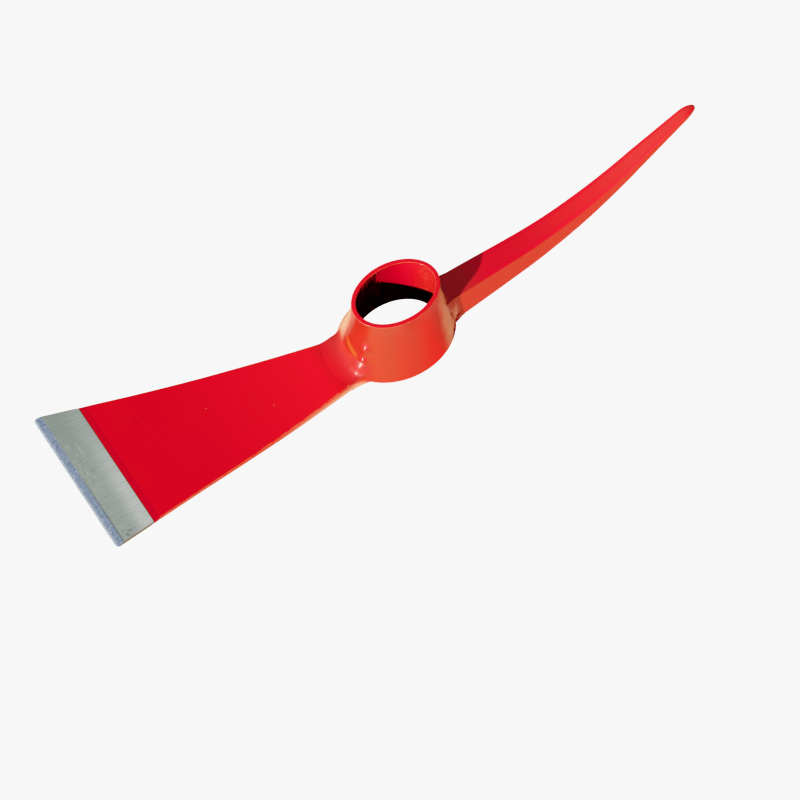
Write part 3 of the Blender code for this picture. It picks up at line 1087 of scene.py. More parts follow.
@dataclass(frozen=True)
class Outline:
    """How a rounded section is divided: steps of each corner, and of the bottom, the sides and the top.

    A corner takes up no more than most_run of a side.
    """

    corner: int = 5
    bottom: int = 12
    side: int = 6
    top: int = 22
    most_run: float = 0.48

    def points(self, corners: Sequence[Vector], radii: Sequence[float]) -> Ring:
        """Points around a section with rounded corners.

        Args:
            corners: its corners, against the clock.
            radii: the radius of each corner.

        Returns:
            The points, and how near each is to the middle of a corner, from 0 to 1.
        """
        arcs = []
        for i, corner in enumerate(corners):
            arcs.append(self._arc(corners[i - 1], corner, corners[(i + 1) % len(corners)], radii[i]))
        points: list[Vector] = []
        edge: list[float] = []
        for i, steps in enumerate((self.bottom, self.side, self.top, self.side)):
            points.extend(arcs[i])
            edge.extend(math.sin(math.pi * k / self.corner) for k in range(self.corner + 1))
            start, end = arcs[i][-1], arcs[(i + 1) % len(arcs)][0]
            points.extend(start.lerp(end, k / steps) for k in range(1, steps))
            edge.extend(0.0 for _ in range(1, steps))
        return np.array([tuple(p) for p in points]), np.array(edge)

    def _arc(self, before: Vector, corner: Vector, after: Vector, radius: float) -> list[Vector]:
        """Points around one rounded corner.

        Args:
            before: the corner before it.
            corner: the corner.
            after: the corner after it.
            radius: its radius, which gives way where the sides are short.

        Returns:
            The points.
        """
        back = (before - corner).normalized()
        ahead = (after - corner).normalized()
        half = back.angle(ahead) / 2
        room = self.most_run * min((before - corner).length, (after - corner).length)
        run = min(radius / math.tan(half), room)
        centre = corner + (back + ahead).normalized() * (run / math.cos(half))
        start = corner + back * run - centre
        end = corner + ahead * run - centre
        sweep = math.pi - 2 * half
        arc = []
        for k in range(self.corner + 1):
            share = k / self.corner
            first = math.sin((1 - share) * sweep) / math.sin(sweep)
            second = math.sin(share * sweep) / math.sin(sweep)
            arc.append(centre + start * first + end * second)
        return arc


class Lattice:
    """A grid of surface points: rows along a piece, and columns that close around it."""

    def __init__(self, points: np.ndarray, closed: bool = False, face: int | None = None) -> None:
        """Take a grid of points.

        Args:
            points: the points, by row and column.
            closed: whether the rows close on themselves as well.
            face: how many of the columns make one smooth face, if the others stay hidden behind it.
        """
        self.points = points
        self.closed = closed
        self.face = face
        self.marks: dict[Mark, np.ndarray] = {}
        self.finish = np.zeros(points.shape[:2], int)

    @classmethod
    def stacked(cls, rings: Sequence[Ring]) -> "Lattice":
        """Stack rings along a piece.

        Args:
            rings: the points of each ring, and their edge shares.

        Returns:
            The grid, with its edges marked.
        """
        made = cls(np.array([ring for ring, _ in rings]))
        made.marks[Mark.EDGE] = np.array([edge for _, edge in rings])
        return made

    def slopes(self) -> np.ndarray:
        """Cross the steps across the grid with those along it.

        Returns:
            The cross product at every point.
        """
        across = np.roll(self.points, -1, 1) - np.roll(self.points, 1, 1)
        if self.face:
            across[:, : self.face] = np.gradient(self.points[:, : self.face], axis=1)
        if self.closed:
            along = np.roll(self.points, -1, 0) - np.roll(self.points, 1, 0)
        else:
            along = np.gradient(self.points, axis=0)
        return np.cross(across, along)

    def sign(self) -> float:
        """Which way round the columns run, so that normals and faces point outward."""
        outward = self.points - self.points.mean(axis=1, keepdims=True)
        return 1.0 if (self.slopes() * outward).sum() > 0 else -1.0

    def normals(self) -> np.ndarray:
        """The outward direction at every point."""
        found = self.slopes()
        return self.sign() * found / np.maximum(np.linalg.norm(found, axis=2, keepdims=True), TINY)

    def swell(self, height: np.ndarray) -> None:
        """Move every point outward by its own height, but none below the plane that the head stands on."""
        self.points = self.points + self.normals() * height[..., None]
        self.points[..., 2] = np.maximum(self.points[..., 2], 0.0)

    def uneven(self, size: float, depth: float, seed: float) -> np.ndarray:
        """Slow noise over the points.

        Args:
            size: the size of its bumps.
            depth: their height.
            seed: which part of the noise is taken.

        Returns:
            The height at every point.
        """
        shift = Vector((seed, -seed, 2 * seed))
        flat = self.points.reshape(-1, 3) / size
        values = [noise.noise(Vector(point) + shift) for point in flat]
        return depth * np.array(values).reshape(self.points.shape[:2])

    def piece(self, name: str, first: int = 0, last: int | None = None) -> Solid:
        """Make a mesh of some of the rows.

        Args:
            name: the piece's name.
            first: the first row.
            last: the last row, or None for all that follow.

        Returns:
            The piece, with capped ends unless its rows close.
        """
        stop = self.points.shape[0] if last is None else last + 1
        points = self.points[first:stop]
        normals = self.normals()[first:stop]
        outward = self.sign() > 0
        rows, columns = points.shape[:2]
        faces: list[Sequence[int]] = []
        finishes: list[int] = []
        for row in range(rows if self.closed else rows - 1):
            below, above = row * columns, (row + 1) % rows * columns
            for column in range(columns):
                after = (column + 1) % columns
                quad = (below + column, below + after, above + after, above + column)
                faces.append(quad if outward else quad[::-1])
                finishes.append(int(self.finish[first + row, column]))
        flat_points = [points.reshape(-1, 3)]
        flat_normals = [normals.reshape(-1, 3)]
        taken = list(range(rows * columns))
        if not self.closed:
            for row, turn in ((0, -1.0), (rows - 1, 1.0)):
                start = len(taken)
                ring = list(range(start, start + columns))
                faces.append(ring if (turn > 0) == outward else ring[::-1])
                finishes.append(int(self.finish[first + row, 0]))
                inner = points[min(max(row - int(turn), 0), rows - 1)].mean(axis=0)
                way = points[row].mean(axis=0) - inner
                flat_points.append(points[row])
                flat_normals.append(np.tile(way / max(np.linalg.norm(way), TINY), (columns, 1)))
                taken.extend(range(row * columns, (row + 1) * columns))
        mesh = bpy.data.meshes.new(name)
        mesh.from_pydata(np.vstack(flat_points).tolist(), [], faces)
        for mark, values in self.marks.items():
            spread = values[first:stop].reshape(-1)[taken].astype(np.float32)
            mesh.attributes.new(mark.value, "FLOAT", "POINT").data.foreach_set("value", spread)
        mesh.polygons.foreach_set("use_smooth", [True] * len(faces))
        mesh.polygons.foreach_set("material_index", finishes)
        mesh.normals_split_custom_set_from_vertices(np.vstack(flat_normals).tolist())
        made = bpy.data.objects.new(name, mesh)
        bpy.context.scene.collection.objects.link(made)
        return made


def place_piece(
    piece: Solid, nodes: Sequence[str], finishes: Sequence[Material]
) -> None:
    """Put a piece on the body in place of its solids, dress it and report it.

    Args:
        piece: the piece.
        nodes: the solids that it stands for.
        finishes: its materials.
    """
    for material in finishes:
        piece.data.materials.append(material)
    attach(piece, BODY)
    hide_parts(*nodes)
    LOG.info("%s: %d points for %s", piece.name, len(piece.data.vertices), ", ".join(nodes))


@dataclass(frozen=True)
class Drop:
    """A drop or ridge of weld metal, or a pit or groove in it, where it is not proud.

    Its place, its width in plan, its height, how proud it stands, and how far it runs on from its place.
    """

    place: tuple[float, float, float]
    wide: float
    tall: float
    proud: float
    run: tuple[float, float, float] = (0.0, 0.0, 0.0)

    def share(self, points: np.ndarray) -> np.ndarray:
        """How much of the drop there is at some points.

        Args:
            points: the points.

        Returns:
            The share at each of them, from 0 to 1.
        """
        away, run = points - np.array(self.place), np.array(self.run)
        length = max(float(run @ run), MILLIMETRE ** 2)
        away = away - np.clip(away @ run / length, 0.0, 1.0)[..., None] * run
        return np.exp(-(away[..., :2] ** 2).sum(axis=-1) / self.wide ** 2 - (away[..., 2] / self.tall) ** 2)


def drop_relief(drops: Sequence[Drop], points: np.ndarray) -> tuple[np.ndarray, np.ndarray]:
    """The relief of drops, ridges, pits and grooves.

    Args:
        drops: all of them.
        points: where their relief is wanted.

    Returns:
        The height at every point, and how much of a pit it is in, from 0 to 1.
    """
    shares = np.array([drop.share(points) for drop in drops])
    proud = np.array([drop.proud for drop in drops])
    return np.tensordot(proud, shares, 1), shares[proud < 0].max(axis=0, initial=0.0)


@dataclass
class EyeSocket:
    """The tapered oval eye: half-axes measured outside and in the bore, a lip, round rims and weld drops."""

    height: float
    root: float
    outer_fits: tuple[np.ndarray, np.ndarray]
    bore_fits: tuple[np.ndarray, np.ndarray]
    drops: tuple[Drop, ...]
    probes: int = 19
    probe_range: Pair = (0.05, 0.95)
    outer_degree: int = 4
    bore_degree: int = 1
    arm_share: float = 0.3
    rim_round: float = 0.0004
    base_round: float = 0.0010
    round_steps: int = 5
    flat_steps: int = 4
    lip: float = 0.0005
    lip_height: float = 0.0140
    turns: int = 224
    fine_turns: int = 72
    fine_range: Pair = (math.radians(190.0), math.radians(218.0))
    levels: int = 110
    wave_size: float = 0.022
    wave_depth: float = 0.00012
    wave_seed: float = 3.1
    # The spray comes along the key light's direction, so the dark bore beyond its reach is painted shadow as
    # well as scale.
    spray_shadow_turn: float = math.radians(21.2)
    spray_shadow_tilt: float = math.radians(33.8)

    @classmethod
    def measured(cls, node: Solid, drops: tuple[Drop, ...]) -> "EyeSocket":
        """Measure the eye's solid.

        Args:
            node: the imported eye.
            drops: drops of weld metal on its wall.

        Returns:
            The eye.
        """
        low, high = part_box(node.name)
        gauge = Gauge([node])
        heights = np.linspace(*cls.probe_range, cls.probes) * high.z
        outer = [
            (gauge.touch((PROBE_REACH, 0, z), (-1, 0, 0)).x, gauge.touch((0, PROBE_REACH, z), (0, -1, 0)).y)
            for z in heights
        ]
        bore = [(gauge.touch((0, 0, z), (1, 0, 0)).x, gauge.touch((0, 0, z), (0, 1, 0)).y) for z in heights]
        outer_fits = tuple(np.polyfit(heights, column, cls.outer_degree) for column in np.array(outer).T)
        bore_fits = tuple(np.polyfit(heights, column, cls.bore_degree) for column in np.array(bore).T)
        return cls(high.z - low.z, high.x, outer_fits, bore_fits, drops)

    def outer(self, z: float) -> Pair:
        """The outside at a height.

        Args:
            z: the height.

        Returns:
            Half its length and half its width.
        """
        length, width = (float(np.polyval(fit, z)) for fit in self.outer_fits)
        swell = self.lip * smooth(self.height - self.lip_height, self.height, z)
        return length + swell, width + swell

    def bore(self, z: float) -> Pair:
        """Half the length and half the width of the bore at a height."""
        length, width = (float(np.polyval(fit, z)) for fit in self.bore_fits)
        return length, width

    def arm_start(self) -> float:
        """Distance from the axis at which the arms begin, inside the wall's foot."""
        return blend(self.bore(0.0)[0], self.root, self.arm_share)

    def wall_distance(self, y: float, z: float) -> float:
        """Distance along X from the eye's axis to its outside.

        Args:
            y: the place across the head.
            z: the height.

        Returns:
            The distance.
        """
        length, width = self.outer(z)
        short = max(self.base_round - z, 0.0)
        pull = self.base_round - math.sqrt(max(self.base_round ** 2 - short ** 2, 0.0))
        return (length - pull) * math.sqrt(max(1 - (y / (width - pull)) ** 2, 0.0))

    def directions(self) -> np.ndarray:
        """The directions in which the wall is laid out around the axis, closer where it has drops."""
        even = np.linspace(0.0, 2 * math.pi, self.turns, endpoint=False)
        return np.unique(np.concatenate([even, np.linspace(*self.fine_range, self.fine_turns)]))

    def quarter(self, height: float, depth: float, radius: float, turned: int) -> list[Spot]:
        """A rounded corner of the wall's section.

        Args:
            height: the height of its middle.
            depth: the depth of its middle into the wall.
            radius: its radius.
            turned: how many quarter turns it comes after the corner of the upper rim's outside.

        Returns:
            Its points, each as in loop.
        """
        found = []
        for k in range(self.round_steps + 1):
            share = k / self.round_steps
            turn = QUARTER * (turned + share)
            place = (height + radius * math.sin(turn), depth - radius * math.cos(turn))
            found.append((*place, 0.0, math.sin(math.pi * share)))
        return found

    def loop(self) -> list[Spot]:
        """The wall's section, up the outside and down the bore.

        Returns:
            For each point its height, its depth into the wall, whether it is in the bore, and its edge share.
        """
        rim, base, top = self.rim_round, self.base_round, self.height
        collar = self.outer(top)[0] - self.bore(top)[0]
        foot = self.outer(0.0)[0] - self.bore(0.0)[0]
        levels = [k / self.levels for k in range(self.levels + 1)]
        flats = [k / self.flat_steps for k in range(1, self.flat_steps)]
        return [
            *((blend(base, top - rim, share), 0.0, 0.0, 0.0) for share in levels),
            *self.quarter(top - rim, rim, rim, 0)[1:],
            *((top, blend(rim, collar - rim, share), 0.0, 0.0) for share in flats),
            *self.quarter(top - rim, collar - rim, rim, 1),
            *((blend(top - rim, base, share), 0.0, 1.0, 0.0) for share in levels[1:]),
            *self.quarter(base, foot - base, base, 2)[1:],
            *((0.0, blend(foot - base, base, share), 0.0, 0.0) for share in flats),
            *self.quarter(base, base, base, 3)[:-1],
        ]

    def spray_shadow_margin(self, x: float, y: float, z: float) -> float:
        """How far inside the spray's reach a point of the bore is, for spray over the rim from both sides. The
        spray comes along the key light, so its border is also the rim's shadow and the dark beyond it is
        painted shadow.

        Args:
            x: the point's X.
            y: its Y.
            z: its height.

        Returns:
            The margin, which is below 0 beyond the reach.
        """
        length, width = self.bore(self.height)
        run = (self.height - z) / math.tan(self.spray_shadow_tilt)
        across = abs(y) - run * math.sin(self.spray_shadow_turn)
        return 1 - math.hypot((x - run * math.cos(self.spray_shadow_turn)) / length, across / width)

    def build(self) -> Lattice:
        """Lay out the eye's surface.

        Returns:
            The surface, with its edges, bore, spray and pits marked.
        """
        loop = self.loop()
        directions = self.directions()
        shape = (len(directions), len(loop))
        points = np.zeros((*shape, 3))
        edge, inside, spray = np.zeros(shape), np.zeros(shape), np.ones(shape)
        for column, (z, depth, bored, rounded) in enumerate(loop):
            outer, bore = self.outer(z), self.bore(z)
            length, width = bore if bored else (outer[0] - depth, outer[1] - depth)
            for row, turn in enumerate(directions):
                points[row, column] = (length * math.cos(turn), width * math.sin(turn), z)
                if bored:
                    spray[row, column] = self.spray_shadow_margin(*points[row, column])
            edge[:, column] = rounded
            inside[:, column] = bored
        lattice = Lattice(points, closed=True)
        lumps, pits = (np.where(inside > 0, 0.0, part) for part in drop_relief(self.drops, points))
        lattice.marks = {Mark.EDGE: edge, Mark.INSIDE: inside, Mark.SPRAY: spray, Mark.PIT: pits}
        waves = lattice.uneven(self.wave_size, self.wave_depth, self.wave_seed) - self.wave_depth
        upright = (points[..., 2] > self.base_round) & (points[..., 2] < self.height)
        lattice.swell(np.where(upright, waves + lumps, 0.0))
        return lattice

    def dress(self, enamel: Material) -> None:
        """Build the eye and paint it."""
        place_piece(self.build().piece("eye_shell"), ["eye_socket"], [enamel])


@dataclass
class AdzeBlade:
    """The flared plate and its ground bit: measured sections, rounded edges, a bevel and a cutting edge."""

    profile: ArmProfile
    paint_line: float
    bevel_start: float
    reach: float
    edge_thickness: float
    start: float
    edge_clear: float = 0.008
    full_clear: float = 0.010
    bevel_probes: Pair = (0.0035, 0.0010)
    paint_lap: float = 0.0007
    edge_round: float = 0.0009
    root_edge: float = 0.0017
    root_foot: float = 0.0016
    root_flare: float = 0.0008
    flare_range: Pair = (0.060, 0.190)
    foot_end: float = 0.1100
    bit_round: float = 0.00025
    bit_fade: float = 0.003
    bit_lap: float = 0.0010
    bevel_gap: float = 0.0002
    most_round: float = 0.4
    corner_round: float = 0.0026
    paint_step: float = 0.00008
    rows: int = 96
    bit_rows: int = 22
    bevel_rows: int = 12
    wave_size: float = 0.035
    wave_depth: float = 0.00010
    wave_seed: float = 7.7

    @classmethod
    def measured(cls, nodes: dict[str, Solid], eye: EyeSocket) -> "AdzeBlade":
        """Measure the blade's solids.

        Args:
            nodes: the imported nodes.
            eye: the eye that carries the blade.

        Returns:
            The blade.
        """
        reach = -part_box("cutting_bit")[0].x
        line = -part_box("adze_blade")[0].x
        gauge = Gauge([nodes["adze_blade"], nodes["cutting_bit"]])
        profile = ArmProfile.measured(Side.BLADE, gauge, eye.root, reach - cls.edge_clear, reach)
        profile = profile.widened(cls.root_flare, *cls.flare_range)
        bit = Gauge([nodes["cutting_bit"]])
        back, front = cls.bevel_probes
        thick, thin = (top - bottom for top, bottom in map(bit.heights, (back - reach, front - reach)))
        slope = (thick - thin) / (back - front)
        edge = thin - slope * front
        full = profile.at(reach - cls.full_clear)
        bevel = (full.top - full.bottom - edge) / slope
        return cls(profile, line + cls.paint_lap, reach - bevel, reach, edge, eye.arm_start())

    def ring(self, distance: float, section: Section, foot: float, radius: float) -> Ring:
        """Points around the blade.

        Args:
            distance: the distance from the eye's axis.
            section: the section there.
            foot: the radius of the lower corners.
            radius: the radius of the upper corners.

        Returns:
            The points, and their edge shares.
        """
        flat, edge = Outline().points(section.corners(), [foot, foot, radius, radius])
        return np.column_stack([np.full(len(flat), -distance), flat]), edge

    def build_plate(self) -> Lattice:
        """Lay out the painted plate.

        Returns:
            The plate's surface.
        """
        rings = []
        for k in range(self.rows + 1):
            distance = blend(self.start, self.paint_line, k / self.rows)
            share = smooth(self.start, self.foot_end, distance)
            foot = blend(self.root_foot, self.edge_round, share)
            top = blend(self.root_edge, self.edge_round, share)
            rings.append(self.ring(distance, self.profile.at(distance), foot, top))
        lattice = Lattice.stacked(rings)
        lattice.swell(lattice.uneven(self.wave_size, self.wave_depth, self.wave_seed) - self.wave_depth / 2)
        return lattice

    def bit_section(self, distance: float) -> Section:
        """The bit's section, with the bevel's fall and the rounded corners of the edge.

        Args:
            distance: the distance from the eye's axis.

        Returns:
            The section.
        """
        section = self.profile.at(distance).inset(self.paint_step)
        fall = max(distance - self.bevel_start, 0.0) / (self.reach - self.bevel_start)
        top = blend(section.top, section.bottom + self.edge_thickness, fall)
        over = min(max(distance - (self.reach - self.corner_round), 0.0) / self.corner_round, 1.0)
        pull = self.corner_round * (1 - math.sqrt(1 - over ** 2))
        return Section(section.top_half - pull, section.bottom_half - pull, top, section.bottom)

    def build_bit(self) -> Lattice:
        """Lay out the bare bit, whose bevel takes the second finish.

        Returns:
            The bit's surface.
        """
        first, last = self.paint_line - self.bit_lap, self.bevel_start - self.bevel_gap
        distances = [blend(first, last, k / self.bit_rows) for k in range(self.bit_rows + 1)]
        for k in range(self.bevel_rows + 1):
            distances.append(blend(self.bevel_start, self.reach, math.sin(QUARTER * k / self.bevel_rows)))
        rings = []
        for distance in distances:
            section = self.bit_section(distance)
            bare = smooth(self.paint_line, self.paint_line + self.bit_fade, distance)
            radius = blend(self.edge_round, self.bit_round, bare)
            radius = min(radius, self.most_round * (section.top - section.bottom))
            rings.append(self.ring(distance, section, radius, radius))
        lattice = Lattice.stacked(rings)
        heights = lattice.points[..., 2]
        upper = heights > heights.mean(axis=1, keepdims=True)
        upper[: self.bit_rows + 1] = False
        lattice.finish[upper] = 1
        return lattice

    def dress(self, enamel: Material, steel: Material, bevel: Material) -> None:
        """Build the plate and the bit, paint the one and leave the other bare."""
        place_piece(self.build_plate().piece("blade_plate"), ["adze_blade"], [enamel])
        place_piece(self.build_bit().piece("blade_bit"), ["cutting_bit"], [steel, bevel])


@dataclass
class Pick:
    """The curved pick: crisp edges at its root that soften towards a rounded point."""

    profile: ArmProfile
    start: float
    joint: float
    nose_start: float
    reach: float
    root_round: float = 0.0008
    point_round: float = 0.0013
    most_round: float = 0.95
    soften_range: Pair = (0.080, 0.175)
    shoulder: float = 0.040
    shoulder_share: float = 0.55
    side_steps: int = 8
    flatten_range: Pair = (0.150, 0.215)
    end_flare: float = 0.0007
    end_lift: float = 0.0014
    nose_length: float = 0.011
    nose_drop: float = 0.0029
    nose_fullness: float = 0.75
    nose_tip: float = 0.01
    # How strongly the pick's edges take the painted highlight and the chips.
    edge_highlight_and_wear: float = 0.15
    flare: float = 0.0006
    flare_range: Pair = (0.150, 0.205)
    rows: int = 120
    nose_rows: int = 14
    wave_size: float = 0.030
    wave_depth: float = 0.00012
    wave_seed: float = 5.3

    @classmethod
    def measured(cls, nodes: dict[str, Solid], eye: EyeSocket) -> "Pick":
        """Measure the pick's solids.

        Args:
            nodes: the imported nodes.
            eye: the eye that carries the pick.

        Returns:
            The pick.
        """
        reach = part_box("pick_point")[1].x
        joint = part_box("pick_tine")[1].x
        nose_start = reach - cls.nose_length
        gauge = Gauge([nodes["pick_tine"], nodes["pick_point"]])
        profile = ArmProfile.measured(Side.PICK, gauge, eye.root, nose_start, reach)
        profile = profile.widened(cls.flare, *cls.flare_range)
        return cls(profile, eye.arm_start(), joint, nose_start, reach)

    def ring(self, distance: float, section: Section) -> Ring:
        """Points around the pick.

        Args:
            distance: the distance from the eye's axis.
            section: the section there.

        Returns:
            The points, and their edge shares.
        """
        room = self.most_round * min(section.top_half, (section.top - section.bottom) / 2)
        soft = smooth(*self.soften_range, distance)
        upper = min(blend(self.root_round, self.point_round, soft), room)
        lower = min(self.root_round, room)
        outline = Outline(side=self.side_steps)
        flat, edge = outline.points(section.corners(), [lower, lower, upper, upper])
        out = (np.abs(flat[:, 0]) / section.top_half - self.shoulder_share) / (1 - self.shoulder_share)
        fall = self.shoulder * section.top_half * np.clip(out, 0.0, 1.0)
        flat[:, 1] -= np.where(flat[:, 1] > (section.top + section.bottom) / 2, fall, 0.0)
        return np.column_stack([np.full(len(flat), distance), flat]), edge * self.edge_highlight_and_wear

    def section(self, distance: float) -> Section:
        """The pick's section, flatter and fuller towards its end.

        Args:
            distance: the distance from the eye's axis.

        Returns:
            The section.
        """
        plain = self.profile.at(distance)
        share = smooth(*self.flatten_range, distance)
        flare, lift = self.end_flare * share, self.end_lift * share
        return Section(plain.top_half + flare, plain.bottom_half + flare, plain.top, plain.bottom + lift)

    def nose_section(self, turn: float) -> Section:
        """A section through the rounded point.

        Args:
            turn: how far round the point it is, from 0 to a quarter turn.

        Returns:
            The section.
        """
        plain = self.section(blend(self.nose_start, self.reach, math.sin(turn)))
        shrink = max(math.cos(turn), self.nose_tip) ** self.nose_fullness
        middle = (plain.top + plain.bottom) / 2 - self.nose_drop * math.sin(turn) ** 2
        half = (plain.top - plain.bottom) / 2 * shrink
        return Section(plain.top_half * shrink, plain.bottom_half * shrink, middle + half, middle - half)

    def build(self) -> tuple[Lattice, int]:
        """Lay out the whole pick.

        Returns:
            The surface, and the row at which the point is welded on.
        """
        distances = [blend(self.start, self.nose_start, k / self.rows) for k in range(self.rows + 1)]
        joint_row = sum(distance <= self.joint for distance in distances) - 1
        rings = [self.ring(distance, self.section(distance)) for distance in distances]
        for k in range(1, self.nose_rows + 1):
            turn = QUARTER * k / self.nose_rows
            distance = blend(self.nose_start, self.reach, math.sin(turn))
            rings.append(self.ring(distance, self.nose_section(turn)))
        lattice = Lattice.stacked(rings)
        waves = lattice.uneven(self.wave_size, self.wave_depth, self.wave_seed) - self.wave_depth / 2
        waves[-self.nose_rows:] = 0.0
        lattice.swell(waves)
        return lattice, joint_row

    def dress(self, enamel: Material) -> None:
        """Build the tine and its point, and paint them.

        Args:
            enamel: the paint.
        """
        lattice, joint = self.build()
        place_piece(lattice.piece("pick_bar", 0, joint), ["pick_tine"], [enamel])
        place_piece(lattice.piece("pick_nose", joint), ["pick_point"], [enamel])


@dataclass(frozen=True)
class WeldStyle:
    """How a fillet was laid.

    The side's leg along the arm as a share of the top's, its leg along the wall as a share of the solid's,
    the spacing and height of the ripples, the height of the finer unevenness, and the drops and pits.
    """

    leg_share: float
    rise_share: float
    ripple_size: float
    ripple: float
    roughness: float
    drops: tuple[Drop, ...]


@dataclass
class RootWeld:
    """The welds at an arm's root: a lumpy fillet over its top and sides and a flat bead under it."""

    name: str
    profile: ArmProfile
    eye: EyeSocket
    foot: float
    style: WeldStyle
    top_leg: float
    wall_leg: float
    side_leg: float
    side_rise: float
    rough_size: float = 0.0045
    rough_seed: float = 1.9
    rough_fade: float = 1.5
    drop_fade: float = 0.5
    ripple_bow: float = 0.25
    sink: float = 0.00018
    corner_sink: float = 0.00025
    corner_range: Pair = (0.8, 1.0)
    inner_share: float = 4.0
    root_tries: int = 6
    side_steps: int = 40
    corner_steps: int = 14
    top_steps: int = 16
    curve_steps: int = 30
    bead_width: float = 0.0050
    bead_depth: float = 0.00022
    bead_crown: float = 3.0
    bead_reach: float = 0.94
    bead_lap: float = 0.0004
    bead_ripple: float = 0.25
    bead_period: int = 4
    bead_steps: int = 40
    bead_turns: int = 16

    @classmethod
    def measured(
        cls, name: str, profile: ArmProfile, eye: EyeSocket, foot: float, style: WeldStyle
    ) -> "RootWeld":
        """Measure a fillet's solid.

        Args:
            name: the fillet's node.
            profile: the arm that it joins.
            eye: the eye that it joins the arm to.
            foot: the radius of the arm's lower corners at its root.
            style: how it was laid.

        Returns:
            The welds.
        """
        low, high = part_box(name)
        section = profile.at(eye.root)
        wall_leg = high.z - section.top
        top_leg = wall_leg
        if profile.side is Side.BLADE:
            top_leg = max(abs(low.x), abs(high.x)) - eye.wall_distance(0.0, section.top)
        side_rise = (high.y - section.bottom_half) * style.rise_share
        return cls(name, profile, eye, foot, style, top_leg, wall_leg, top_leg * style.leg_share, side_rise)

    def root_distance(self, point: Callable[[Section], Vector]) -> float:
        """Distance from the eye's axis at which a line along the arm's surface meets the eye's outside.

        Args:
            point: the point of the arm's outline that the line follows.

        Returns:
            The distance.
        """
        distance = self.eye.root
        for _ in range(self.root_tries):
            distance = self.eye.wall_distance(*point(self.profile.at(distance)))
        return distance

    def on_wall(self, spot: Vector, lift: float) -> Vector:
        """The point of the eye's outside at a Y and a height, moved out along X."""
        return Vector((self.profile.side.value * (self.eye.wall_distance(*spot) + lift), *spot))

    def station(
        self,
        point: Callable[[Section], Vector],
        normal: Callable[[Section], Vector],
        arm_leg: float,
        rise: Callable[[Section], Vector],
        sink: float,
    ) -> np.ndarray:
        """A section through the fillet.

        Args:
            point: the point of the arm's outline that the fillet sits on.
            normal: the outward direction there.
            arm_leg: how far the fillet reaches along the arm.
            rise: how far it reaches along the wall, as a vector of Y and Z.
            sink: how deep its toes sit in what they join.

        Returns:
            The fillet's face and a line inside the joint, as a loop of points.
        """
        root = self.root_distance(point)
        outer, section = self.profile.at(root + arm_leg), self.profile.at(root)
        toe = Vector((self.profile.side.value * (root + arm_leg), *(point(outer) - normal(outer) * sink)))
        corner, deep = point(section), sink * self.inner_share
        throat = self.on_wall(corner, 0.0)
        head = self.on_wall(corner + rise(section), -sink)
        inner = self.on_wall(corner - normal(section) * deep, -deep)
        loop = []
        for k in range(self.curve_steps + 1):
            t = k / self.curve_steps
            loop.append(toe * (1 - t) ** 2 + throat * 2 * t * (1 - t) + head * t ** 2)
        loop += [head.lerp(inner, HALFWAY), inner, inner.lerp(toe, HALFWAY)]
        return np.array([tuple(p) for p in loop])

    def half_fillet(self, sign: float) -> list[np.ndarray]:
        """Sections through half the fillet, from its lower end to the middle of the arm's top.

        Args:
            sign: which side it is on.

        Returns:
            The sections, the last one in the middle.
        """
        up = Vector((0.0, 1.0))
        loops = []
        for k in range(self.side_steps):
            share = k / self.side_steps
            loops.append(
                self.station(
                    lambda s: s.side(share, sign, self.foot),
                    lambda s: s.side_normal(sign),
                    self.side_leg,
                    lambda s: s.side_normal(sign) * self.side_rise,
                    blend(self.sink, self.corner_sink, smooth(*self.corner_range, share)),
                )
            )
        for k in range(self.corner_steps):
            turn = QUARTER * k / self.corner_steps
            across, along = math.cos(turn), math.sin(turn)
            side_rise, top_rise = self.side_rise * across, up * (self.wall_leg * along)
            loops.append(
                self.station(
                    lambda s: s.side(1.0, sign, self.foot),
                    lambda s: (s.side_normal(sign) * across + up * along).normalized(),
                    blend(self.side_leg, self.top_leg, along ** 2),
                    lambda s: s.side_normal(sign) * side_rise + top_rise,
                    self.corner_sink,
                )
            )
        for k in range(self.top_steps + 1):
            share = 1 - k / self.top_steps
            loops.append(
                self.station(
                    lambda s: Vector((sign * share * s.top_half, s.top)),
                    lambda s: up,
                    self.top_leg,
                    lambda s: up * self.wall_leg,
                    blend(self.sink, self.corner_sink, smooth(*self.corner_range, share)),
                )
            )
        return loops

    def build_fillet(self) -> Lattice:
        """Lay out the fillet, from one lower end over the arm to the other.

        Returns:
            The fillet's surface.
        """
        near, far = self.half_fillet(-1.0), self.half_fillet(1.0)
        lattice = Lattice(np.array([*near, *reversed(far[:-1])]), face=self.curve_steps + 1)
        lattice.swell(self.relief(lattice))
        return lattice

    def relief(self, lattice: Lattice) -> np.ndarray:
        """The relief of a fillet's face, which fades out at its toes. Its pits get marked.

        Args:
            lattice: the plain fillet.

        Returns:
            The height at every point.
        """
        columns = np.arange(lattice.points.shape[1])[None, :]
        fade = np.sin(np.pi * np.minimum(columns / self.curve_steps, 1.0))
        path = lattice.points[:, self.curve_steps // 2]
        run = np.concatenate([[0.0], np.cumsum(np.linalg.norm(np.diff(path, axis=0), axis=1))])[:, None]
        ripple = np.sin(2 * np.pi * (run / self.style.ripple_size + self.ripple_bow * fade))
        rough = lattice.uneven(self.rough_size, self.style.roughness, self.rough_seed)
        lumps, pits = drop_relief(self.style.drops, lattice.points)
        lattice.marks = {Mark.EDGE: np.zeros(pits.shape), Mark.PIT: pits}
        height = (self.style.ripple * ripple + rough) * fade ** self.rough_fade
        height = height + lumps * fade ** self.drop_fade
        return np.where(columns <= self.curve_steps, height, 0.0)

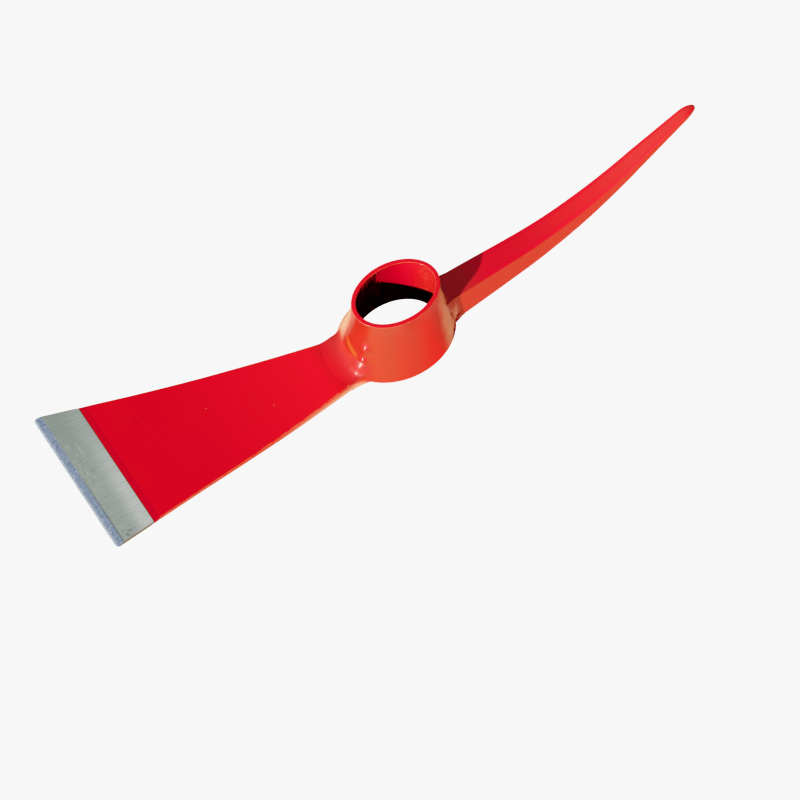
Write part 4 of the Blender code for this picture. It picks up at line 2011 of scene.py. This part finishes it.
    def build_bead(self) -> Lattice:
        """Lay out the flat bead in the groove under the root.

        Returns:
            The bead's surface.
        """
        way = self.profile.side.value
        section = self.profile.at(self.eye.root)
        length, width = self.eye.outer(0.0)
        sweep = math.asin(min(self.bead_reach * section.bottom_half / (width + self.bead_width), 1.0))
        rings = []
        for k in range(self.bead_steps + 1):
            turn = blend(-sweep, sweep, k / self.bead_steps)
            ripple = 1 + self.bead_ripple * math.sin(2 * math.pi * k / self.bead_period)
            ring = []
            for j in range(self.bead_turns):
                around = 2 * math.pi * j / self.bead_turns
                out = self.bead_width / 2 * (1 + math.cos(around)) - self.bead_lap
                lift = self.bead_depth * math.sin(around)
                lift *= ripple if lift < 0 else self.bead_crown
                place = (way * (length + out) * math.cos(turn), (width + out) * math.sin(turn))
                ring.append((*place, max(section.bottom + lift, 0.0)))
            rings.append(ring)
        return Lattice(np.array(rings))

    def dress(self, enamel: Material) -> None:
        """Build the fillet and the bead, and paint them.

        Args:
            enamel: the paint.
        """
        fillet, bead = self.build_fillet(), self.build_bead()
        arm = self.name.split("_")[0]
        place_piece(fillet.piece(f"{arm}_fillet"), [self.name], [enamel])
        place_piece(bead.piece(f"{arm}_root_bead"), [f"{arm}_root_weld"], [enamel])


@dataclass(frozen=True)
class Studio:
    """The white floor, the lights, and the camera of the photograph."""

    image_side: float = 800.0
    focal_pixels: float = 2100.0
    sensor: float = 36.0
    turn: float = math.radians(33.83)
    tilt: float = math.radians(64.32)
    pixel: float = 0.0006437
    shift_right: float = -4.1
    shift_up: float = 66.8
    key_turn: float = math.radians(20.2)
    key_tilt: float = math.radians(33.8)
    key_strength: float = 4.0
    key_angle: float = math.radians(1.3)
    key_colour: Colour = (1.0, 0.92, 0.80)
    dim_sky: Colour = (0.37, 0.38, 0.40)
    bright_sky: Colour = (0.54, 0.54, 0.54)
    sky_ramp: Ramp = (-0.6, 0.6)
    floor_side: float = 8.0
    floor_drop: float = 0.4 * MILLIMETRE
    floor_colour: Colour = (0.0, 0.0, 0.0)
    glow_colour: Colour = (1.0, 1.0, 1.0)
    floor_glow: float = 1.4
    bounce_drop: float = 0.2 * MILLIMETRE
    bounce: Colour = (0.84, 0.72, 0.58)

    def build(self) -> None:
        """Set the floor, the sky, the key light and the camera."""
        self.build_floor()
        self.build_sky()
        self.build_key()
        self.build_camera()
        bpy.context.scene.view_settings.view_transform = "Khronos PBR Neutral"

    def plane(self, name: str, drop: float, sockets: dict) -> Solid:
        """Lay a plain plane under the object.

        Args:
            name: the plane's name.
            drop: how far below the object it lies.
            sockets: the values of its shader.

        Returns:
            The plane.
        """
        half = self.floor_side / 2
        mesh = bpy.data.meshes.new(name)
        corners = [(-half, -half, 0.0), (half, -half, 0.0), (half, half, 0.0), (-half, half, 0.0)]
        mesh.from_pydata(corners, [], [(0, 1, 2, 3)])
        made = bpy.data.objects.new(name, mesh)
        made.location.z = -drop
        bpy.context.scene.collection.objects.link(made)
        made.data.materials.append(Board(bpy.data.materials.new(name)).finish(sockets))
        return made

    def build_floor(self) -> None:
        """A white floor that only the camera sees, and a warm one that sends light back up to the object."""
        matt = {"Roughness": 1.0, "Specular IOR Level": 0.0}
        glow = {"Emission Color": self.glow_colour, "Emission Strength": self.floor_glow}
        floor = self.plane("white_floor", self.floor_drop, {"Base Color": self.floor_colour, **matt, **glow})
        floor.visible_diffuse = False
        floor.visible_glossy = False
        bounce = self.plane("warm_floor", self.bounce_drop, {"Base Color": self.bounce, **matt})
        bounce.visible_camera = False

    def build_sky(self) -> None:
        """Soft light from above, brighter on the key's side."""
        board = Board(bpy.data.worlds.new("studio"))
        away = board.at.x * math.cos(self.key_turn) + board.at.y * math.sin(self.key_turn)
        light = board.mix(self.bright_sky, self.dim_sky, away.step(*self.sky_ramp))
        bpy.context.scene.world = board.finish({"Color": light, "Strength": 1.0}, "ShaderNodeBackground")

    def build_key(self) -> None:
        """A small bright lamp, low at the front left, that throws the eye's shadow on the pick's root."""
        lamp = bpy.data.lights.new("key", "SUN")
        lamp.energy = self.key_strength
        lamp.angle = self.key_angle
        lamp.color = self.key_colour
        way = Vector(
            (
                math.cos(self.key_turn) * math.cos(self.key_tilt),
                math.sin(self.key_turn) * math.cos(self.key_tilt),
                -math.sin(self.key_tilt),
            )
        )
        key = bpy.data.objects.new("key", lamp)
        key.rotation_mode = "QUATERNION"
        key.rotation_quaternion = way.to_track_quat("-Z", "Y")
        bpy.context.scene.collection.objects.link(key)

    def build_camera(self) -> None:
        """The photograph's camera."""
        right = Vector((math.cos(self.turn), -math.sin(self.turn), 0.0))
        ground = Vector((math.sin(self.turn), math.cos(self.turn), 0.0))
        rise = Vector((0.0, 0.0, 1.0))
        ahead = ground * math.cos(self.tilt) - rise * math.sin(self.tilt)
        up = ground * math.sin(self.tilt) + rise * math.cos(self.tilt)
        place = right * self.shift_right + up * self.shift_up + ahead * self.focal_pixels
        data = bpy.data.cameras.new("camera")
        data.sensor_width = self.sensor
        data.lens = self.sensor * self.focal_pixels / self.image_side
        camera = bpy.data.objects.new("camera", data)
        turn = Matrix((right, up, -ahead)).transposed()
        camera.matrix_world = Matrix.LocRotScale(-place * self.pixel, turn, None)
        bpy.context.scene.collection.objects.link(camera)
        bpy.context.scene.camera = camera


WALL_DROPS = (
    Drop((-0.0299, -0.0108, 0.0284), 0.0033, 0.0031, 0.0027),
    Drop((-0.0327, -0.0120, 0.0177), 0.0030, 0.0026, 0.0027),
    Drop((-0.0318, -0.0112, 0.0235), 0.0016, 0.0040, 0.0008),
    Drop((0.0347, -0.0170, 0.0024), 0.0012, 0.0016, -0.0003, (-0.0030, -0.0035, -0.0008)),
    Drop((0.0317, -0.0205, 0.0016), 0.0010, 0.0014, -0.0002, (-0.0026, -0.0028, -0.0006)),
)
BLADE_STYLE = WeldStyle(
    leg_share=0.85,
    rise_share=1.45,
    ripple_size=0.0050,
    ripple=0.00006,
    roughness=0.00008,
    drops=(
        Drop((-0.0400, 0.0160, 0.0090), 0.0040, 0.0030, 0.0006),
        Drop((-0.0360, -0.0119, 0.0122), 0.0060, 0.0044, 0.0021),
    ),
)
PICK_STYLE = WeldStyle(
    leg_share=2.60,
    rise_share=1.30,
    ripple_size=0.0040,
    ripple=0.00012,
    roughness=0.00030,
    drops=(
        Drop((0.0365, -0.0122, 0.0135), 0.0020, 0.0045, 0.0008),
        Drop((0.0364, -0.0138, 0.0075), 0.0013, 0.0030, 0.0007),
        Drop((0.0337, -0.0138, 0.0130), 0.0012, 0.0016, -0.0012, (0.0008, -0.0022, -0.0090)),
        Drop((0.0405, -0.0125, 0.0060), 0.0012, 0.0015, -0.0012, (-0.0045, -0.0030, -0.0035)),
        Drop((0.0362, -0.0152, 0.0030), 0.0016, 0.0018, -0.0012, (-0.0034, -0.0040, -0.0012)),
        Drop((0.0360, 0.0140, 0.0100), 0.0030, 0.0040, 0.0009),
    ),
)


def main() -> None:
    """Build the head over its frame, then the studio."""
    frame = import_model()
    nodes = frame["nodes"]
    enamel = RedEnamel().material()
    eye = EyeSocket.measured(nodes["eye_socket"], WALL_DROPS)
    eye.dress(SocketEnamel().material())
    blade = AdzeBlade.measured(nodes, eye)
    masked = MaskedEnamel(line=-blade.paint_line)
    steel = GroundSteel(line=-blade.paint_line)
    blade.dress(masked.material(), steel.material(), BevelSteel().material())
    pick = Pick.measured(nodes, eye)
    pick.dress(enamel)
    RootWeld.measured("blade_weld", blade.profile, eye, blade.root_foot, BLADE_STYLE).dress(enamel)
    RootWeld.measured("pick_weld", pick.profile, eye, pick.root_round, PICK_STYLE).dress(enamel)
    Studio().build()


if __name__ == "__main__":
    logging.basicConfig(level=logging.INFO, format="%(message)s")
    main()
